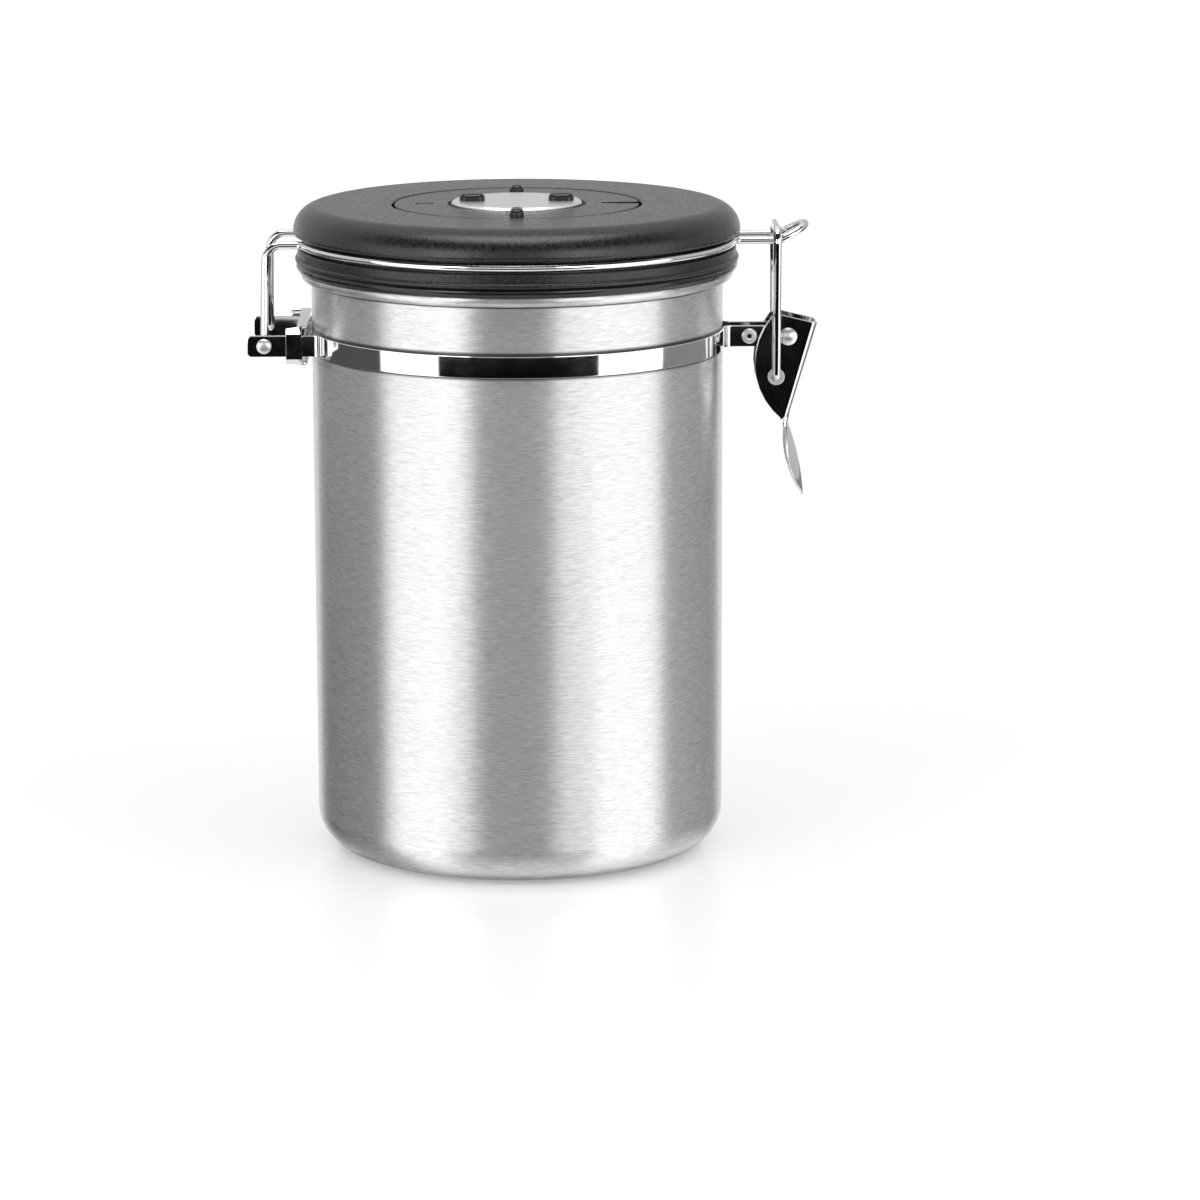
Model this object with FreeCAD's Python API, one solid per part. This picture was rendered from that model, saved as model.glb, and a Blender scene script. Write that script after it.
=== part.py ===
"""Coffee canister with a wire-bail lid, an over-centre clasp and a one-way valve.

Millimetres. The origin is the middle of the base, +Z is up, the hinge is on -X and the clasp on +X.
"""
import FreeCAD
import Part
import os
from math import cos, radians, sin, sqrt, tan

V = FreeCAD.Vector

# Canister shell: drawn cup with a flat base and a rim curled outwards
body_radius = 58.5
shell_wall = 0.8
shell_height = 168.1
base_corner_radius = 11.0
rim_roll_radius = 1.85
rim_roll_turn_deg = 290.0

# Neck band: two half straps with a hinge tang and a clasp ear each
neck_length = 20.4
band_height = 6.1
band_thickness = 0.8
band_fit = 0.05
strap_bend_radius = 2.6
tang_half_gap = 18.2
tang_end_margin = 4.7
tang_corner = 0.8
ear_half_gap = 3.5
hinge_reach = 12.8
pivot_reach = 18.5
ear_rivet_from_pivot = 11.0

# Hinge clip: closed loop round both tangs
clip_thickness = 1.0
clip_fit = 0.1
clip_headroom = 1.4
clip_shoulder = 2.3
clip_leg_width = 4.7
clip_leg_from_wall = 2.0
clip_bar_width = 3.0
clip_bar_from_wall = 0.7

# Rivets through the ears
ear_rivet_radius = 1.3
ear_rivet_head_radius = 2.2
ear_rivet_head_height = 0.5
ear_rivet_bore_radius = 0.7
lever_rivet_radius = 1.6
lever_rivet_head_radius = 2.5
lever_rivet_head_height = 0.9
rivet_running_fit = 0.06
rivet_end_play = 0.1

# Clasp lever: side view points are measured from the lever's pivot
lever_sheet = 0.8
lever_gap = 0.4
lever_fold_radius = 2.2
lever_nose_x = -4.8
lever_nose_z = 5.6
lever_crown_x = -1.9
lever_crown_z = 6.2
lever_web_top_x = 8.4
lever_web_top_z = 3.7
lever_web_foot_x = 0.5
lever_web_foot_z = -22.4
lever_heel_x = -1.7
lever_heel_z = -23.9
lever_belly_x = -9.5
lever_belly_z = -7.3
lever_neck_drop = 4.0
lever_neck_inset = 1.7
tab_length = 21.5
tab_half_width = 7.4
tab_widest_at = 10.5
tab_tip_half_width = 2.4
tab_tip_drop = 0.8
tab_lean_deg = 12.0
tab_bow_radius = 70.0
tab_dish_margin = 1.9

# Draw bail and the eyelets that carry its feet
wire_radius = 1.15
bail_pivot_x = -3.4
bail_pivot_z = -11.5
bail_tongue_headroom = 0.9
bail_tongue_side_gap = 1.0
bail_corner_radius = 3.8
bail_foot_bend_radius = 1.6
bail_side_gap = 0.6
bail_running_fit = 0.06
eyelet_wall = 0.6
eyelet_flange_width = 0.6
eyelet_flange_thickness = 0.35

# Lid wire: hinge legs, ring in the lid's groove and tongue
tang_hole_fit = 0.06
wire_end_stub = 1.0
wire_head_radius = 2.1
wire_head_gap = 0.1
wire_head_edge = 0.4
wire_foot_gap = 0.1
wire_foot_bend_radius = 1.5
wire_shoulder_radius = 4.5
wire_ring_bend_radius = 2.4
leg_draw_in = 3.1
leg_lean = 0.5
tongue_half_width = 6.7
tongue_past_bail = 1.1
tongue_straight = 0.4
tongue_lift_deg = 28.0
tongue_bend_radius = 4.0

# Lid: gasket, base with collar and plug, and cover
gasket_seal_gap = 0.3
gasket_thickness = 1.3
gasket_fit = 0.05
gasket_bulge = 0.6
gasket_lip_drop = 1.3
gasket_lip_thickness = 0.6
gasket_seat_inset = 2.3
plug_inset = 6.5
plug_depth = 6.6
plug_wall = 2.0
plug_corner_radius = 1.2
collar_inset = 0.4
collar_height = 4.0
lip_bulge = 0.7
lip_height = 1.6
groove_play = 1.3
groove_depth = 2.1
groove_core_wall = 2.0
wire_to_core_gap = 0.3
lid_overhang = 1.15
cover_edge_round = 1.0
cover_side_height = 0.1
cover_shoulder_radius = 7.2
cover_wall = 2.2
cover_press_fit = 0.05
cover_skirt_grip = 1.6

# Dials: flush ring, raised disc, spindle and clip
dial_recess_depth = 3.0
dial_floor = 1.8
dial_groove = 0.75
dial_seat_gap = 0.1
dial_flush_drop = 0.1
dial_ring_radius = 34.7
well_gap = 1.1
ring_flange_thickness = 1.2
disc_radius = 18.5
disc_lift = 0.3
disc_proud = 0.8
disc_bevel = 0.45
disc_overlap = 6.5
spindle_boss_gap = 0.3
spindle_radius = 4.0
spindle_running_fit = 0.08
spindle_tail = 1.2
spring_clip_thickness = 0.8
spring_clip_width = 2.6
spring_clip_slot = 3.0
spring_clip_fit = 0.05
spindle_groove_depth = 0.8
grip_length = 7.2
grip_width = 4.0
grip_proud = 2.1
grip_socket_depth = 0.6
grip_fit = 0.05
grip_edge_round = 1.4
disc_grip_margin = 2.3
mark_depth = 1.0
dash_inset = 1.05
dash_length = 5.4
dash_width = 1.5
wedge_length = 10.7
wedge_narrow = 0.8
wedge_wide = 2.6
nail_notch_radius = 2.0
vent_count = 6
vent_radius = 1.5

# One-way valve in the plug's floor
valve_fit = 0.05
valve_wall = 1.8
valve_flange_width = 2.5
valve_flange_thickness = 1.0
seat_plate = 1.4
seat_hole_count = 6
seat_hole_radius = 1.3
seat_hole_circle_radius = 5.2
flap_overlap = 2.1
flap_side_gap = 2.55
flap_thickness = 0.9
flap_rest_gap = 0.05
flap_travel = 0.8
flap_clearance = 0.3
flap_stem_radius = 1.0
flap_stem_fit = 0.08
flap_bulb_radius = 1.7
flap_bulb_height = 1.0
filter_thickness = 0.8
cap_thickness = 1.2
cap_hole_radius = 0.9
cap_ring_count = 2
cap_rim_margin = 3.0
cap_holes_per_ring = 6

# Heights, radii and places that several pieces share
axis_z = shell_height - neck_length
hinge_x = -(body_radius + hinge_reach)
pivot_x = body_radius + pivot_reach
ear_rivet_x = pivot_x - ear_rivet_from_pivot
strap_radius = body_radius + band_fit + band_thickness / 2
roll_x = body_radius - shell_wall + rim_roll_radius
roll_z = shell_height - rim_roll_radius
lever_half_width = ear_half_gap + band_thickness + lever_gap + lever_sheet
lever_neck_half_width = lever_half_width - lever_neck_inset
bail_x = pivot_x + bail_pivot_x
bail_z = axis_z + bail_pivot_z
eyelet_bore = wire_radius + bail_running_fit
eyelet_radius = eyelet_bore + eyelet_wall
seal_z = shell_height + gasket_seal_gap
seal_radius = rim_roll_radius + gasket_seal_gap
gasket_lip_z = seal_z - gasket_lip_drop
gasket_lip_x = roll_x + sqrt(seal_radius ** 2 - (gasket_lip_z - roll_z) ** 2)
gasket_radius = gasket_lip_x + gasket_lip_thickness + gasket_bulge
collar_radius = gasket_radius - collar_inset
collar_bottom = seal_z + gasket_thickness
collar_top = collar_bottom + collar_height
cover_bottom = collar_top + 2 * wire_radius + groove_play
lid_radius = collar_radius + lid_overhang
lid_brow = cover_bottom + cover_edge_round + cover_side_height
lid_top = lid_brow + cover_shoulder_radius
plug_radius = body_radius - plug_inset
plug_bottom = shell_height - plug_depth
gasket_seat_radius = body_radius - gasket_seat_inset
groove_core_radius = collar_radius - groove_depth
wire_z = (collar_top + cover_bottom) / 2
wire_ring_radius = groove_core_radius + wire_to_core_gap + wire_radius
wire_foot_y = tang_half_gap - wire_foot_gap - wire_foot_bend_radius
leg_top_y = wire_foot_y - leg_draw_in
recess_floor = lid_top - dial_recess_depth
ring_top = lid_top - dial_flush_drop
ring_bottom = recess_floor + dial_seat_gap
flange_top = ring_bottom + ring_flange_thickness
disc_bottom = flange_top + disc_lift
disc_top = ring_top + disc_proud
spindle_boss_radius = disc_radius - disc_overlap
well_radius = disc_radius + well_gap
ring_middle = (well_radius + dial_ring_radius) / 2
disc_grip_at = disc_radius - disc_grip_margin - grip_length / 2
spring_clip_top = recess_floor - dial_floor - dial_seat_gap
spring_clip_bottom = spring_clip_top - spring_clip_thickness
valve_bottom = plug_bottom - valve_flange_thickness
flap_radius = seat_hole_circle_radius + seat_hole_radius + flap_overlap
valve_inner = flap_radius + flap_side_gap
valve_outer = valve_inner + valve_wall
valve_radius = valve_outer + valve_fit
filter_bottom = valve_bottom + cap_thickness
bulb_bottom = filter_bottom + filter_thickness + flap_clearance
bulb_top = bulb_bottom + flap_bulb_height
seat_plate_bottom = bulb_top + flap_travel + flap_clearance
seat_plate_top = seat_plate_bottom + seat_plate
flap_bottom = seat_plate_top + flap_rest_gap
flap_top = flap_bottom + flap_thickness


def outline_edges(points):
    """Edges of a closed XZ outline; a third entry in a point makes it the middle of an arc."""
    edges = []
    start = V(points[0][0], 0, points[0][1])
    middle = None
    for point in points[1:] + points[:1]:
        here = V(point[0], 0, point[1])
        if len(point) == 3:
            middle = here
            continue
        if middle:
            edges.append(Part.Arc(start, middle, here).toShape())
        else:
            edges.append(Part.LineSegment(start, here).toShape())
        start = here
        middle = None
    return edges


def revolve(points):
    """Full turn about Z of an outline of (radius, height) points."""
    face = Part.Face(Part.Wire(outline_edges(points)))
    return face.revolve(V(0, 0, 0), V(0, 0, 1), 360)


def plate(points, y_from, y_to):
    """Straight sheet or block from an XZ outline, between two Y values."""
    face = Part.Face(Part.Wire(outline_edges(points)))
    face.translate(V(0, y_from, 0))
    return face.extrude(V(0, y_to - y_from, 0))


def on_arc(centre_x, centre_z, radius, angle_deg):
    """Point at an angle on a circle in the XZ plane."""
    return centre_x + radius * cos(radians(angle_deg)), centre_z + radius * sin(radians(angle_deg))


def cylinder(radius, height, base, axis=V(0, 0, 1)):
    return Part.makeCylinder(radius, height, base, axis)


def cross_pin(radius, half_length, x, z):
    """Cylinder along Y, centred on the XZ plane."""
    return cylinder(radius, 2 * half_length, V(x, -half_length, z), V(0, 1, 0))


def mirrored(shape):
    return shape.mirror(V(0, 0, 0), V(0, 1, 0))


def ring_of(shape, count):
    """Copies of a shape spread evenly about Z."""
    copies = []
    for index in range(count):
        copy = shape.copy()
        copy.rotate(V(0, 0, 0), V(0, 0, 1), 360 * index / count)
        copies.append(copy)
    return Part.makeCompound(copies)


def rounded_path(points, radii):
    """Edges of a polyline whose inner corners are tangent arcs of the given radii."""
    edges = []
    last = points[0]
    for before, corner, after, radius in zip(points, points[1:], points[2:], radii):
        into = (before - corner).normalize()
        out = (after - corner).normalize()
        half_angle = into.getAngle(out) / 2
        reach = radius / tan(half_angle)
        middle = corner + (into + out).normalize() * (radius / sin(half_angle) - radius)
        edges.append(Part.LineSegment(last, corner + into * reach).toShape())
        edges.append(Part.Arc(corner + into * reach, middle, corner + out * reach).toShape())
        last = corner + out * reach
    edges.append(Part.LineSegment(last, points[-1]).toShape())
    return edges


def wire_along(edges):
    """Round wire along a smooth run of edges that starts with a straight one."""
    start = edges[0].Vertexes[0].Point
    direction = edges[0].tangentAt(edges[0].FirstParameter)
    section = Part.Wire(Part.makeCircle(wire_radius, start, direction))
    return Part.Wire(edges).makePipeShell([section], True, False)


def turn_in(radius, bend, half_gap, side):
    """Plan arc, on the front half, from a straight run along X to a circle about the axis."""
    y = -(half_gap + bend)
    centre = V(side * sqrt((radius + bend) ** 2 - y ** 2), y, 0)
    on_run = V(centre.x, -half_gap, 0)
    on_circle = centre * (radius / centre.Length)
    middle = centre + (on_run + on_circle - centre * 2).normalize() * bend
    return on_run, middle, on_circle


def canister_shell():
    inner = body_radius - shell_wall
    flat = body_radius - base_corner_radius
    inner_corner = base_corner_radius - shell_wall
    roll_inner = rim_roll_radius - shell_wall
    roll_end = 180 - rim_roll_turn_deg
    roll_middle = 180 - rim_roll_turn_deg / 2
    return revolve([
        (0, 0), (flat, 0),
        (*on_arc(flat, base_corner_radius, base_corner_radius, -45), "arc"), (body_radius, base_corner_radius),
        (body_radius, roll_z), (*on_arc(roll_x, roll_z, roll_inner, roll_middle), "arc"),
        on_arc(roll_x, roll_z, roll_inner, roll_end), on_arc(roll_x, roll_z, rim_roll_radius, roll_end),
        (*on_arc(roll_x, roll_z, rim_roll_radius, roll_middle), "arc"), (inner, roll_z),
        (inner, base_corner_radius), (*on_arc(flat, base_corner_radius, inner_corner, -45), "arc"),
        (flat, shell_wall), (0, shell_wall)])


def strap_side(offset):
    """Plan edges of one face of the front strap, at an offset outwards from its middle line."""
    radius = strap_radius + offset
    bend = strap_bend_radius - offset
    tang_y = tang_half_gap + band_thickness / 2 + offset
    ear_y = ear_half_gap + band_thickness / 2 + offset
    tang_bend = turn_in(radius, bend, tang_y, -1)
    ear_bend = turn_in(radius, bend, ear_y, 1)
    tang_end = V(hinge_x - tang_end_margin, -tang_y, 0)
    ear_end = V(pivot_x + band_height / 2, -ear_y, 0)
    edges = [Part.LineSegment(tang_end, tang_bend[0]).toShape(), Part.Arc(*tang_bend).toShape(),
             Part.Arc(tang_bend[2], V(0, -radius, 0), ear_bend[2]).toShape(),
             Part.Arc(*reversed(ear_bend)).toShape(), Part.LineSegment(ear_bend[0], ear_end).toShape()]
    return edges, tang_end, ear_end


def neck_band_front():
    """Half strap: hinge tang, wrap round the front of the neck, clasp ear with a round end."""
    inner, inner_tang, inner_ear = strap_side(-band_thickness / 2)
    outer, outer_tang, outer_ear = strap_side(band_thickness / 2)
    tang_cap = Part.LineSegment(outer_tang, inner_tang).toShape()
    ear_cap = Part.LineSegment(inner_ear, outer_ear).toShape()
    strap = Part.Face(Part.Wire(inner + [ear_cap] + outer[::-1] + [tang_cap])).extrude(V(0, 0, band_height))
    half = band_height / 2
    strap.translate(V(0, 0, axis_z - half))
    end_x = hinge_x - tang_end_margin
    tang_depth = tang_half_gap + 2 * band_thickness
    for edge_z, inward in ((axis_z - half, tang_corner), (axis_z + half, -tang_corner)):
        corner = [(end_x, edge_z), (end_x + tang_corner, edge_z), (end_x, edge_z + inward)]
        strap = strap.cut(plate(corner, -tang_depth, 0))
    ear_depth = ear_half_gap + 2 * band_thickness
    end_block = Part.makeBox(half, ear_depth, band_height, V(pivot_x, -ear_depth, axis_z - half))
    strap = strap.cut(end_block.cut(cross_pin(half, ear_depth, pivot_x, axis_z)))
    strap = strap.cut(cross_pin(wire_radius + tang_hole_fit, tang_depth, hinge_x, axis_z))
    strap = strap.cut(cross_pin(ear_rivet_radius + band_fit, ear_depth, ear_rivet_x, axis_z))
    return strap.cut(cross_pin(lever_rivet_radius + band_fit, ear_depth, pivot_x, axis_z))


def neck_band_rear():
    return mirrored(neck_band_front())


def clip_loop(half_width, half_height, shoulder):
    """Eight-sided face across the hinge, in the YZ plane."""
    quarter = [(half_width, half_height - shoulder), (half_width - shoulder, half_height)]
    outline = quarter + [(-y, z) for y, z in reversed(quarter)]
    outline += [(-y, -z) for y, z in outline]
    corners = [V(0, y, axis_z + z) for y, z in outline]
    return Part.Face(Part.makePolygon(corners + corners[:1]))


def hinge_clip():
    """Closed sheet loop: two wide legs outside the tangs, narrower bars above and below."""
    inner_width = tang_half_gap + band_thickness + clip_fit
    inner_height = band_height / 2 + clip_headroom
    width = inner_width + clip_thickness
    height = inner_height + clip_thickness
    inner_shoulder = clip_shoulder - clip_thickness
    leg_near = -(body_radius + clip_leg_from_wall)
    leg_far = leg_near - clip_leg_width
    bar_near = -(body_radius + clip_bar_from_wall)
    bar_far = bar_near - clip_bar_width
    bar_half = inner_width - inner_shoulder
    ring = clip_loop(width, height, clip_shoulder).cut(clip_loop(inner_width, inner_height, inner_shoulder))
    ring.translate(V(leg_far, 0, 0))
    loop = ring.extrude(V(bar_near - leg_far, 0, 0))
    low = axis_z - height
    loop = loop.cut(Part.makeBox(bar_far - leg_far, 2 * bar_half, 2 * height, V(leg_far, -bar_half, low)))
    for y in (-width, bar_half):
        loop = loop.cut(Part.makeBox(bar_near - leg_near, width - bar_half, 2 * height, V(leg_near, y, low)))
    return loop


def ear_rivet():
    """Tubular rivet that ties the two clasp ears together."""
    half = ear_half_gap + band_thickness
    rivet = cross_pin(ear_rivet_radius, half, ear_rivet_x, axis_z)
    for side in (-1, 1):
        base = V(ear_rivet_x, side * half, axis_z)
        rivet = rivet.fuse(cylinder(ear_rivet_head_radius, ear_rivet_head_height, base, V(0, side, 0)))
    bore = cross_pin(ear_rivet_bore_radius, half + ear_rivet_head_height, ear_rivet_x, axis_z)
    return rivet.cut(bore).removeSplitter()


def lever_rivet():
    """Domed rivet on which the lever turns."""
    half = lever_half_width + rivet_end_play
    height = lever_rivet_head_height
    dome = (lever_rivet_head_radius ** 2 + height ** 2) / (2 * height)
    rivet = cross_pin(lever_rivet_radius, half, pivot_x, axis_z)
    for side in (-1, 1):
        ball = Part.makeSphere(dome, V(pivot_x, side * (half + height - dome), axis_z))
        base = V(pivot_x, side * half, axis_z)
        rivet = rivet.fuse(ball.common(cylinder(lever_rivet_head_radius, height, base, V(0, side, 0))))
    return rivet.removeSplitter()


def flank(side_y, side_z, end_y, end_z):
    """Arc in the YZ plane that leaves the tab's widest point along Z and ends at another point."""
    step_y = end_y - side_y
    step_z = end_z - side_z
    radius = (step_y ** 2 + step_z ** 2) / (2 * step_y)
    centre = V(0, side_y + radius, side_z)
    side = V(0, side_y, side_z)
    end = V(0, end_y, end_z)
    middle = centre + (side + end - centre * 2).normalize() * abs(radius)
    return Part.Arc(side, middle, end).toShape()


def thumb_tab(root):
    """Dished leaf: a bowed strip turned about an axis on the canister side, trimmed to a leaf outline."""
    half = tab_length / 2
    sag = tab_bow_radius - sqrt(tab_bow_radius ** 2 - half ** 2)
    axis_x = -(tab_half_width + tab_dish_margin)
    strip = [(0, 0), (sag, -half, "arc"), (0, -tab_length), (-lever_sheet, -tab_length),
             (sag - lever_sheet, -half, "arc"), (-lever_sheet, 0)]
    dish = Part.Face(Part.Wire(outline_edges(strip)))
    dish.rotate(V(axis_x, 0, 0), V(0, 0, 1), -90)
    dish = dish.revolve(V(axis_x, 0, 0), V(0, 0, 1), 180)
    shoulder = flank(-tab_half_width, -tab_widest_at, -lever_neck_half_width, 0)
    cheek = flank(-tab_half_width, -tab_widest_at, -tab_tip_half_width, tab_tip_drop - tab_length)
    tip_start = V(0, -tab_tip_half_width, tab_tip_drop - tab_length)
    tip = Part.Arc(tip_start, V(0, 0, -tab_length), V(0, tab_tip_half_width, tip_start.z)).toShape()
    top = Part.LineSegment(V(0, -lever_neck_half_width, 0), V(0, lever_neck_half_width, 0)).toShape()
    outline = [shoulder, cheek, tip, mirrored(cheek), mirrored(shoulder), top]
    leaf = Part.Face(Part.Wire(Part.__sortEdges__(outline)))
    leaf.translate(V(axis_x, 0, 0))
    tab = dish.common(leaf.extrude(V(sag - axis_x + lever_sheet, 0, 0)))
    tab.rotate(V(0, 0, 0), V(0, 1, 0), -tab_lean_deg)
    tab.translate(root)
    return tab


def lever():
    """Folded channel open towards the canister, with a short neck and a dished thumb tab below."""
    def at(x, z):
        return pivot_x + x, axis_z + z

    half = lever_half_width
    inner_half = half - lever_sheet
    nose = at(lever_nose_x, lever_nose_z)
    belly = at(lever_belly_x, lever_belly_z)
    heel = at(lever_heel_x, lever_heel_z)
    web_top = at(lever_web_top_x, lever_web_top_z)
    web_foot = at(lever_web_foot_x, lever_web_foot_z)
    crown = at(lever_crown_x, lever_crown_z)
    block = plate([nose, crown, web_top, web_foot, heel, (*belly, "arc")], -half, half)
    folds = [edge for edge in block.Edges if runs_between(edge, web_top, web_foot)]
    block = block.makeFillet(lever_fold_radius, folds)
    slope = (web_top[0] - web_foot[0]) / (web_top[1] - web_foot[1])
    web = lever_sheet * sqrt(1 + slope ** 2)
    over = half
    high = web_top[1] + over
    low = web_foot[1] - over
    hollow = [(web_top[0] + slope * over - web, high), (belly[0] - over, high),
              (belly[0] - over, low), (web_foot[0] - slope * over - web, low)]
    inside = plate(hollow, -inner_half, inner_half)
    inner_folds = [edge for edge in inside.Edges if runs_between(edge, hollow[0], hollow[3])]
    channel = block.cut(inside.makeFillet(lever_fold_radius - lever_sheet, inner_folds))
    neck_z = web_foot[1] - lever_neck_drop
    tuck = lever_neck_half_width
    tuck_x = web_foot[0] + slope * tuck
    tuck_z = web_foot[1] + tuck
    neck = [(web_foot[0] - web, neck_z), (web_foot[0], neck_z), web_foot,
            (tuck_x, tuck_z), (tuck_x - web, tuck_z), (web_foot[0] - web, web_foot[1])]
    body = channel.fuse(plate(neck, -lever_neck_half_width, lever_neck_half_width))
    body = body.fuse(thumb_tab(V(web_foot[0], 0, neck_z + lever_sheet)))
    body = body.cut(cross_pin(lever_rivet_radius + rivet_running_fit, half, pivot_x, axis_z))
    return body.cut(cross_pin(eyelet_radius + band_fit, half, bail_x, bail_z)).removeSplitter()


def runs_between(edge, top, foot):
    """True for an edge along the web, from its top to its foot."""
    ends = sorted((vertex.Point for vertex in edge.Vertexes), key=lambda point: point.z)
    gap_low = V(ends[0].x - foot[0], 0, ends[0].z - foot[1]).Length
    gap_high = V(ends[-1].x - top[0], 0, ends[-1].z - top[1]).Length
    return gap_low + gap_high < lever_sheet / 100


def bail_eyelets():
    """Two flanged bushes in the lever's side plates."""
    bush = cylinder(eyelet_radius, lever_sheet, V(bail_x, -lever_half_width, bail_z), V(0, 1, 0))
    flange = cylinder(eyelet_radius + eyelet_flange_width, eyelet_flange_thickness,
                      V(bail_x, -lever_half_width, bail_z), V(0, -1, 0))
    bore = cross_pin(eyelet_bore, lever_half_width + eyelet_flange_thickness, bail_x, bail_z)
    eyelet = bush.fuse(flange).cut(bore).removeSplitter()
    return Part.makeCompound([eyelet, mirrored(eyelet)])


def draw_bail():
    """Wire loop from the lever's eyelets over the lid's tongue."""
    top_z = wire_z + 2 * wire_radius + bail_tongue_headroom
    top_y = tongue_half_width + 2 * wire_radius + bail_tongue_side_gap
    leg_y = lever_half_width + eyelet_flange_thickness + bail_side_gap + wire_radius
    front = [V(bail_x, lever_sheet - lever_half_width, bail_z), V(bail_x, -leg_y, bail_z),
             V(bail_x, -top_y, top_z)]
    rear = [V(point.x, -point.y, point.z) for point in reversed(front)]
    radii = [bail_foot_bend_radius, bail_corner_radius, bail_corner_radius, bail_foot_bend_radius]
    return wire_along(rounded_path(front + rear, radii))


def lid_wire():
    """One wire: peened foot and leg, ring in the lid's groove, raised tongue, and the same again behind."""
    level = V(0, 0, wire_z)
    hinge_turn = turn_in(wire_ring_radius, wire_ring_bend_radius, leg_top_y, -1)
    tongue_turn = turn_in(wire_ring_radius, wire_ring_bend_radius, tongue_half_width, 1)
    to_ring = [point + level for point in hinge_turn]
    to_tongue = [point + level for point in tongue_turn]
    stub_y = tang_half_gap + band_thickness + wire_end_stub
    leg = [V(hinge_x, -stub_y, axis_z), V(hinge_x, -wire_foot_y, axis_z),
           V(hinge_x + leg_lean, -leg_top_y, wire_z), to_ring[0]]
    front = rounded_path(leg, [wire_foot_bend_radius, wire_shoulder_radius])
    front.append(Part.Arc(*to_ring).toShape())
    front.append(Part.Arc(to_ring[2], V(0, -wire_ring_radius, wire_z), to_tongue[2]).toShape())
    front.append(Part.Arc(*reversed(to_tongue)).toShape())
    lift = radians(tongue_lift_deg)
    slope = V(cos(lift), 0, sin(lift))
    knee = V(bail_x + tongue_past_bail, -tongue_half_width, wire_z)
    rise_start = knee + slope * (tongue_bend_radius * tan(lift / 2))
    front += rounded_path([to_tongue[0], knee, rise_start + slope * tongue_straight], [tongue_bend_radius])
    turn_start = front[-1].Vertexes[-1].Point
    tip = V(turn_start.x, 0, turn_start.z) + slope * tongue_half_width
    turn = Part.Arc(turn_start, tip, V(turn_start.x, -turn_start.y, turn_start.z)).toShape()
    wire = wire_along(front + [turn] + [mirrored(edge) for edge in reversed(front)])
    head = cylinder(wire_head_radius, wire_end_stub - wire_head_gap, leg[0], V(0, 1, 0))
    rim = [edge for edge in head.Edges if edge.BoundBox.YMax < wire_head_edge - stub_y]
    head = head.makeFillet(wire_head_edge, rim)
    return wire.fuse([head, mirrored(head)]).removeSplitter()


def lid_cover():
    """Moulded cap with a rounded shoulder, a round recess for the dials and a skirt over the base's core."""
    shoulder_x = lid_radius - cover_shoulder_radius
    round_x = lid_radius - cover_edge_round
    round_z = cover_bottom + cover_edge_round
    skirt = groove_core_radius + cover_press_fit
    ledge = cover_bottom + cover_skirt_grip
    recess = dial_ring_radius + dial_groove
    underside = recess_floor - dial_floor
    spindle_hole = spindle_radius + spindle_running_fit
    cap = revolve([
        (spindle_hole, recess_floor), (recess, recess_floor), (recess, lid_top), (shoulder_x, lid_top),
        (*on_arc(shoulder_x, lid_brow, cover_shoulder_radius, 45), "arc"), (lid_radius, lid_brow),
        (lid_radius, round_z), (*on_arc(round_x, round_z, cover_edge_round, -45), "arc"),
        (round_x, cover_bottom), (skirt, cover_bottom), (skirt, ledge), (skirt - groove_core_wall, ledge),
        (skirt - groove_core_wall, lid_top - cover_wall), (recess + cover_wall, lid_top - cover_wall),
        (recess + cover_wall, underside), (spindle_hole, underside)])
    vent = cylinder(vent_radius, dial_floor, V(ring_middle, 0, underside))
    return cap.cut(ring_of(vent, vent_count))


def lid_base():
    """Plug that enters the mouth, seat for the gasket, collar, and the core that the cover presses on."""
    core_top = cover_bottom + cover_skirt_grip
    core_inner = groove_core_radius - groove_core_wall
    corner_x = plug_radius - plug_corner_radius
    corner_z = plug_bottom + plug_corner_radius
    shelf = collar_bottom + plug_wall
    return revolve([
        (valve_radius, plug_bottom), (corner_x, plug_bottom),
        (*on_arc(corner_x, corner_z, plug_corner_radius, -45), "arc"), (plug_radius, corner_z),
        (gasket_seat_radius, seal_z), (gasket_seat_radius, collar_bottom), (collar_radius, collar_bottom),
        (collar_radius + lip_bulge, collar_bottom + lip_height / 2, "arc"),
        (collar_radius, collar_bottom + lip_height), (collar_radius, collar_top),
        (groove_core_radius, collar_top), (groove_core_radius, core_top),
        (core_inner, core_top), (core_inner, shelf), (gasket_seat_radius - plug_wall, shelf),
        (gasket_seat_radius - plug_wall, seal_z), (plug_radius - plug_wall, plug_bottom + plug_wall),
        (valve_radius, plug_bottom + plug_wall)])


def lid_gasket():
    """Seal on the base's seat, with a lip that hangs over the curled rim."""
    inner = gasket_seat_radius + gasket_fit
    return revolve([
        (inner, collar_bottom), (gasket_radius - gasket_bulge / 2, collar_bottom),
        (gasket_radius, seal_z, "arc"), (gasket_lip_x + gasket_lip_thickness, gasket_lip_z),
        (gasket_lip_x, gasket_lip_z), (*on_arc(roll_x, roll_z, seal_radius, 60), "arc"),
        (roll_x, seal_z), (inner, seal_z)])


def stadium(at, length, width, low, height):
    """Upright bar with round ends, its long way along X."""
    half = width / 2
    ends = (at - length / 2 + half, at + length / 2 - half)
    bar = Part.makeBox(ends[1] - ends[0], width, height, V(ends[0], -half, low))
    for x in ends:
        bar = bar.fuse(cylinder(half, height, V(x, 0, low)))
    return bar.removeSplitter()


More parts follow.
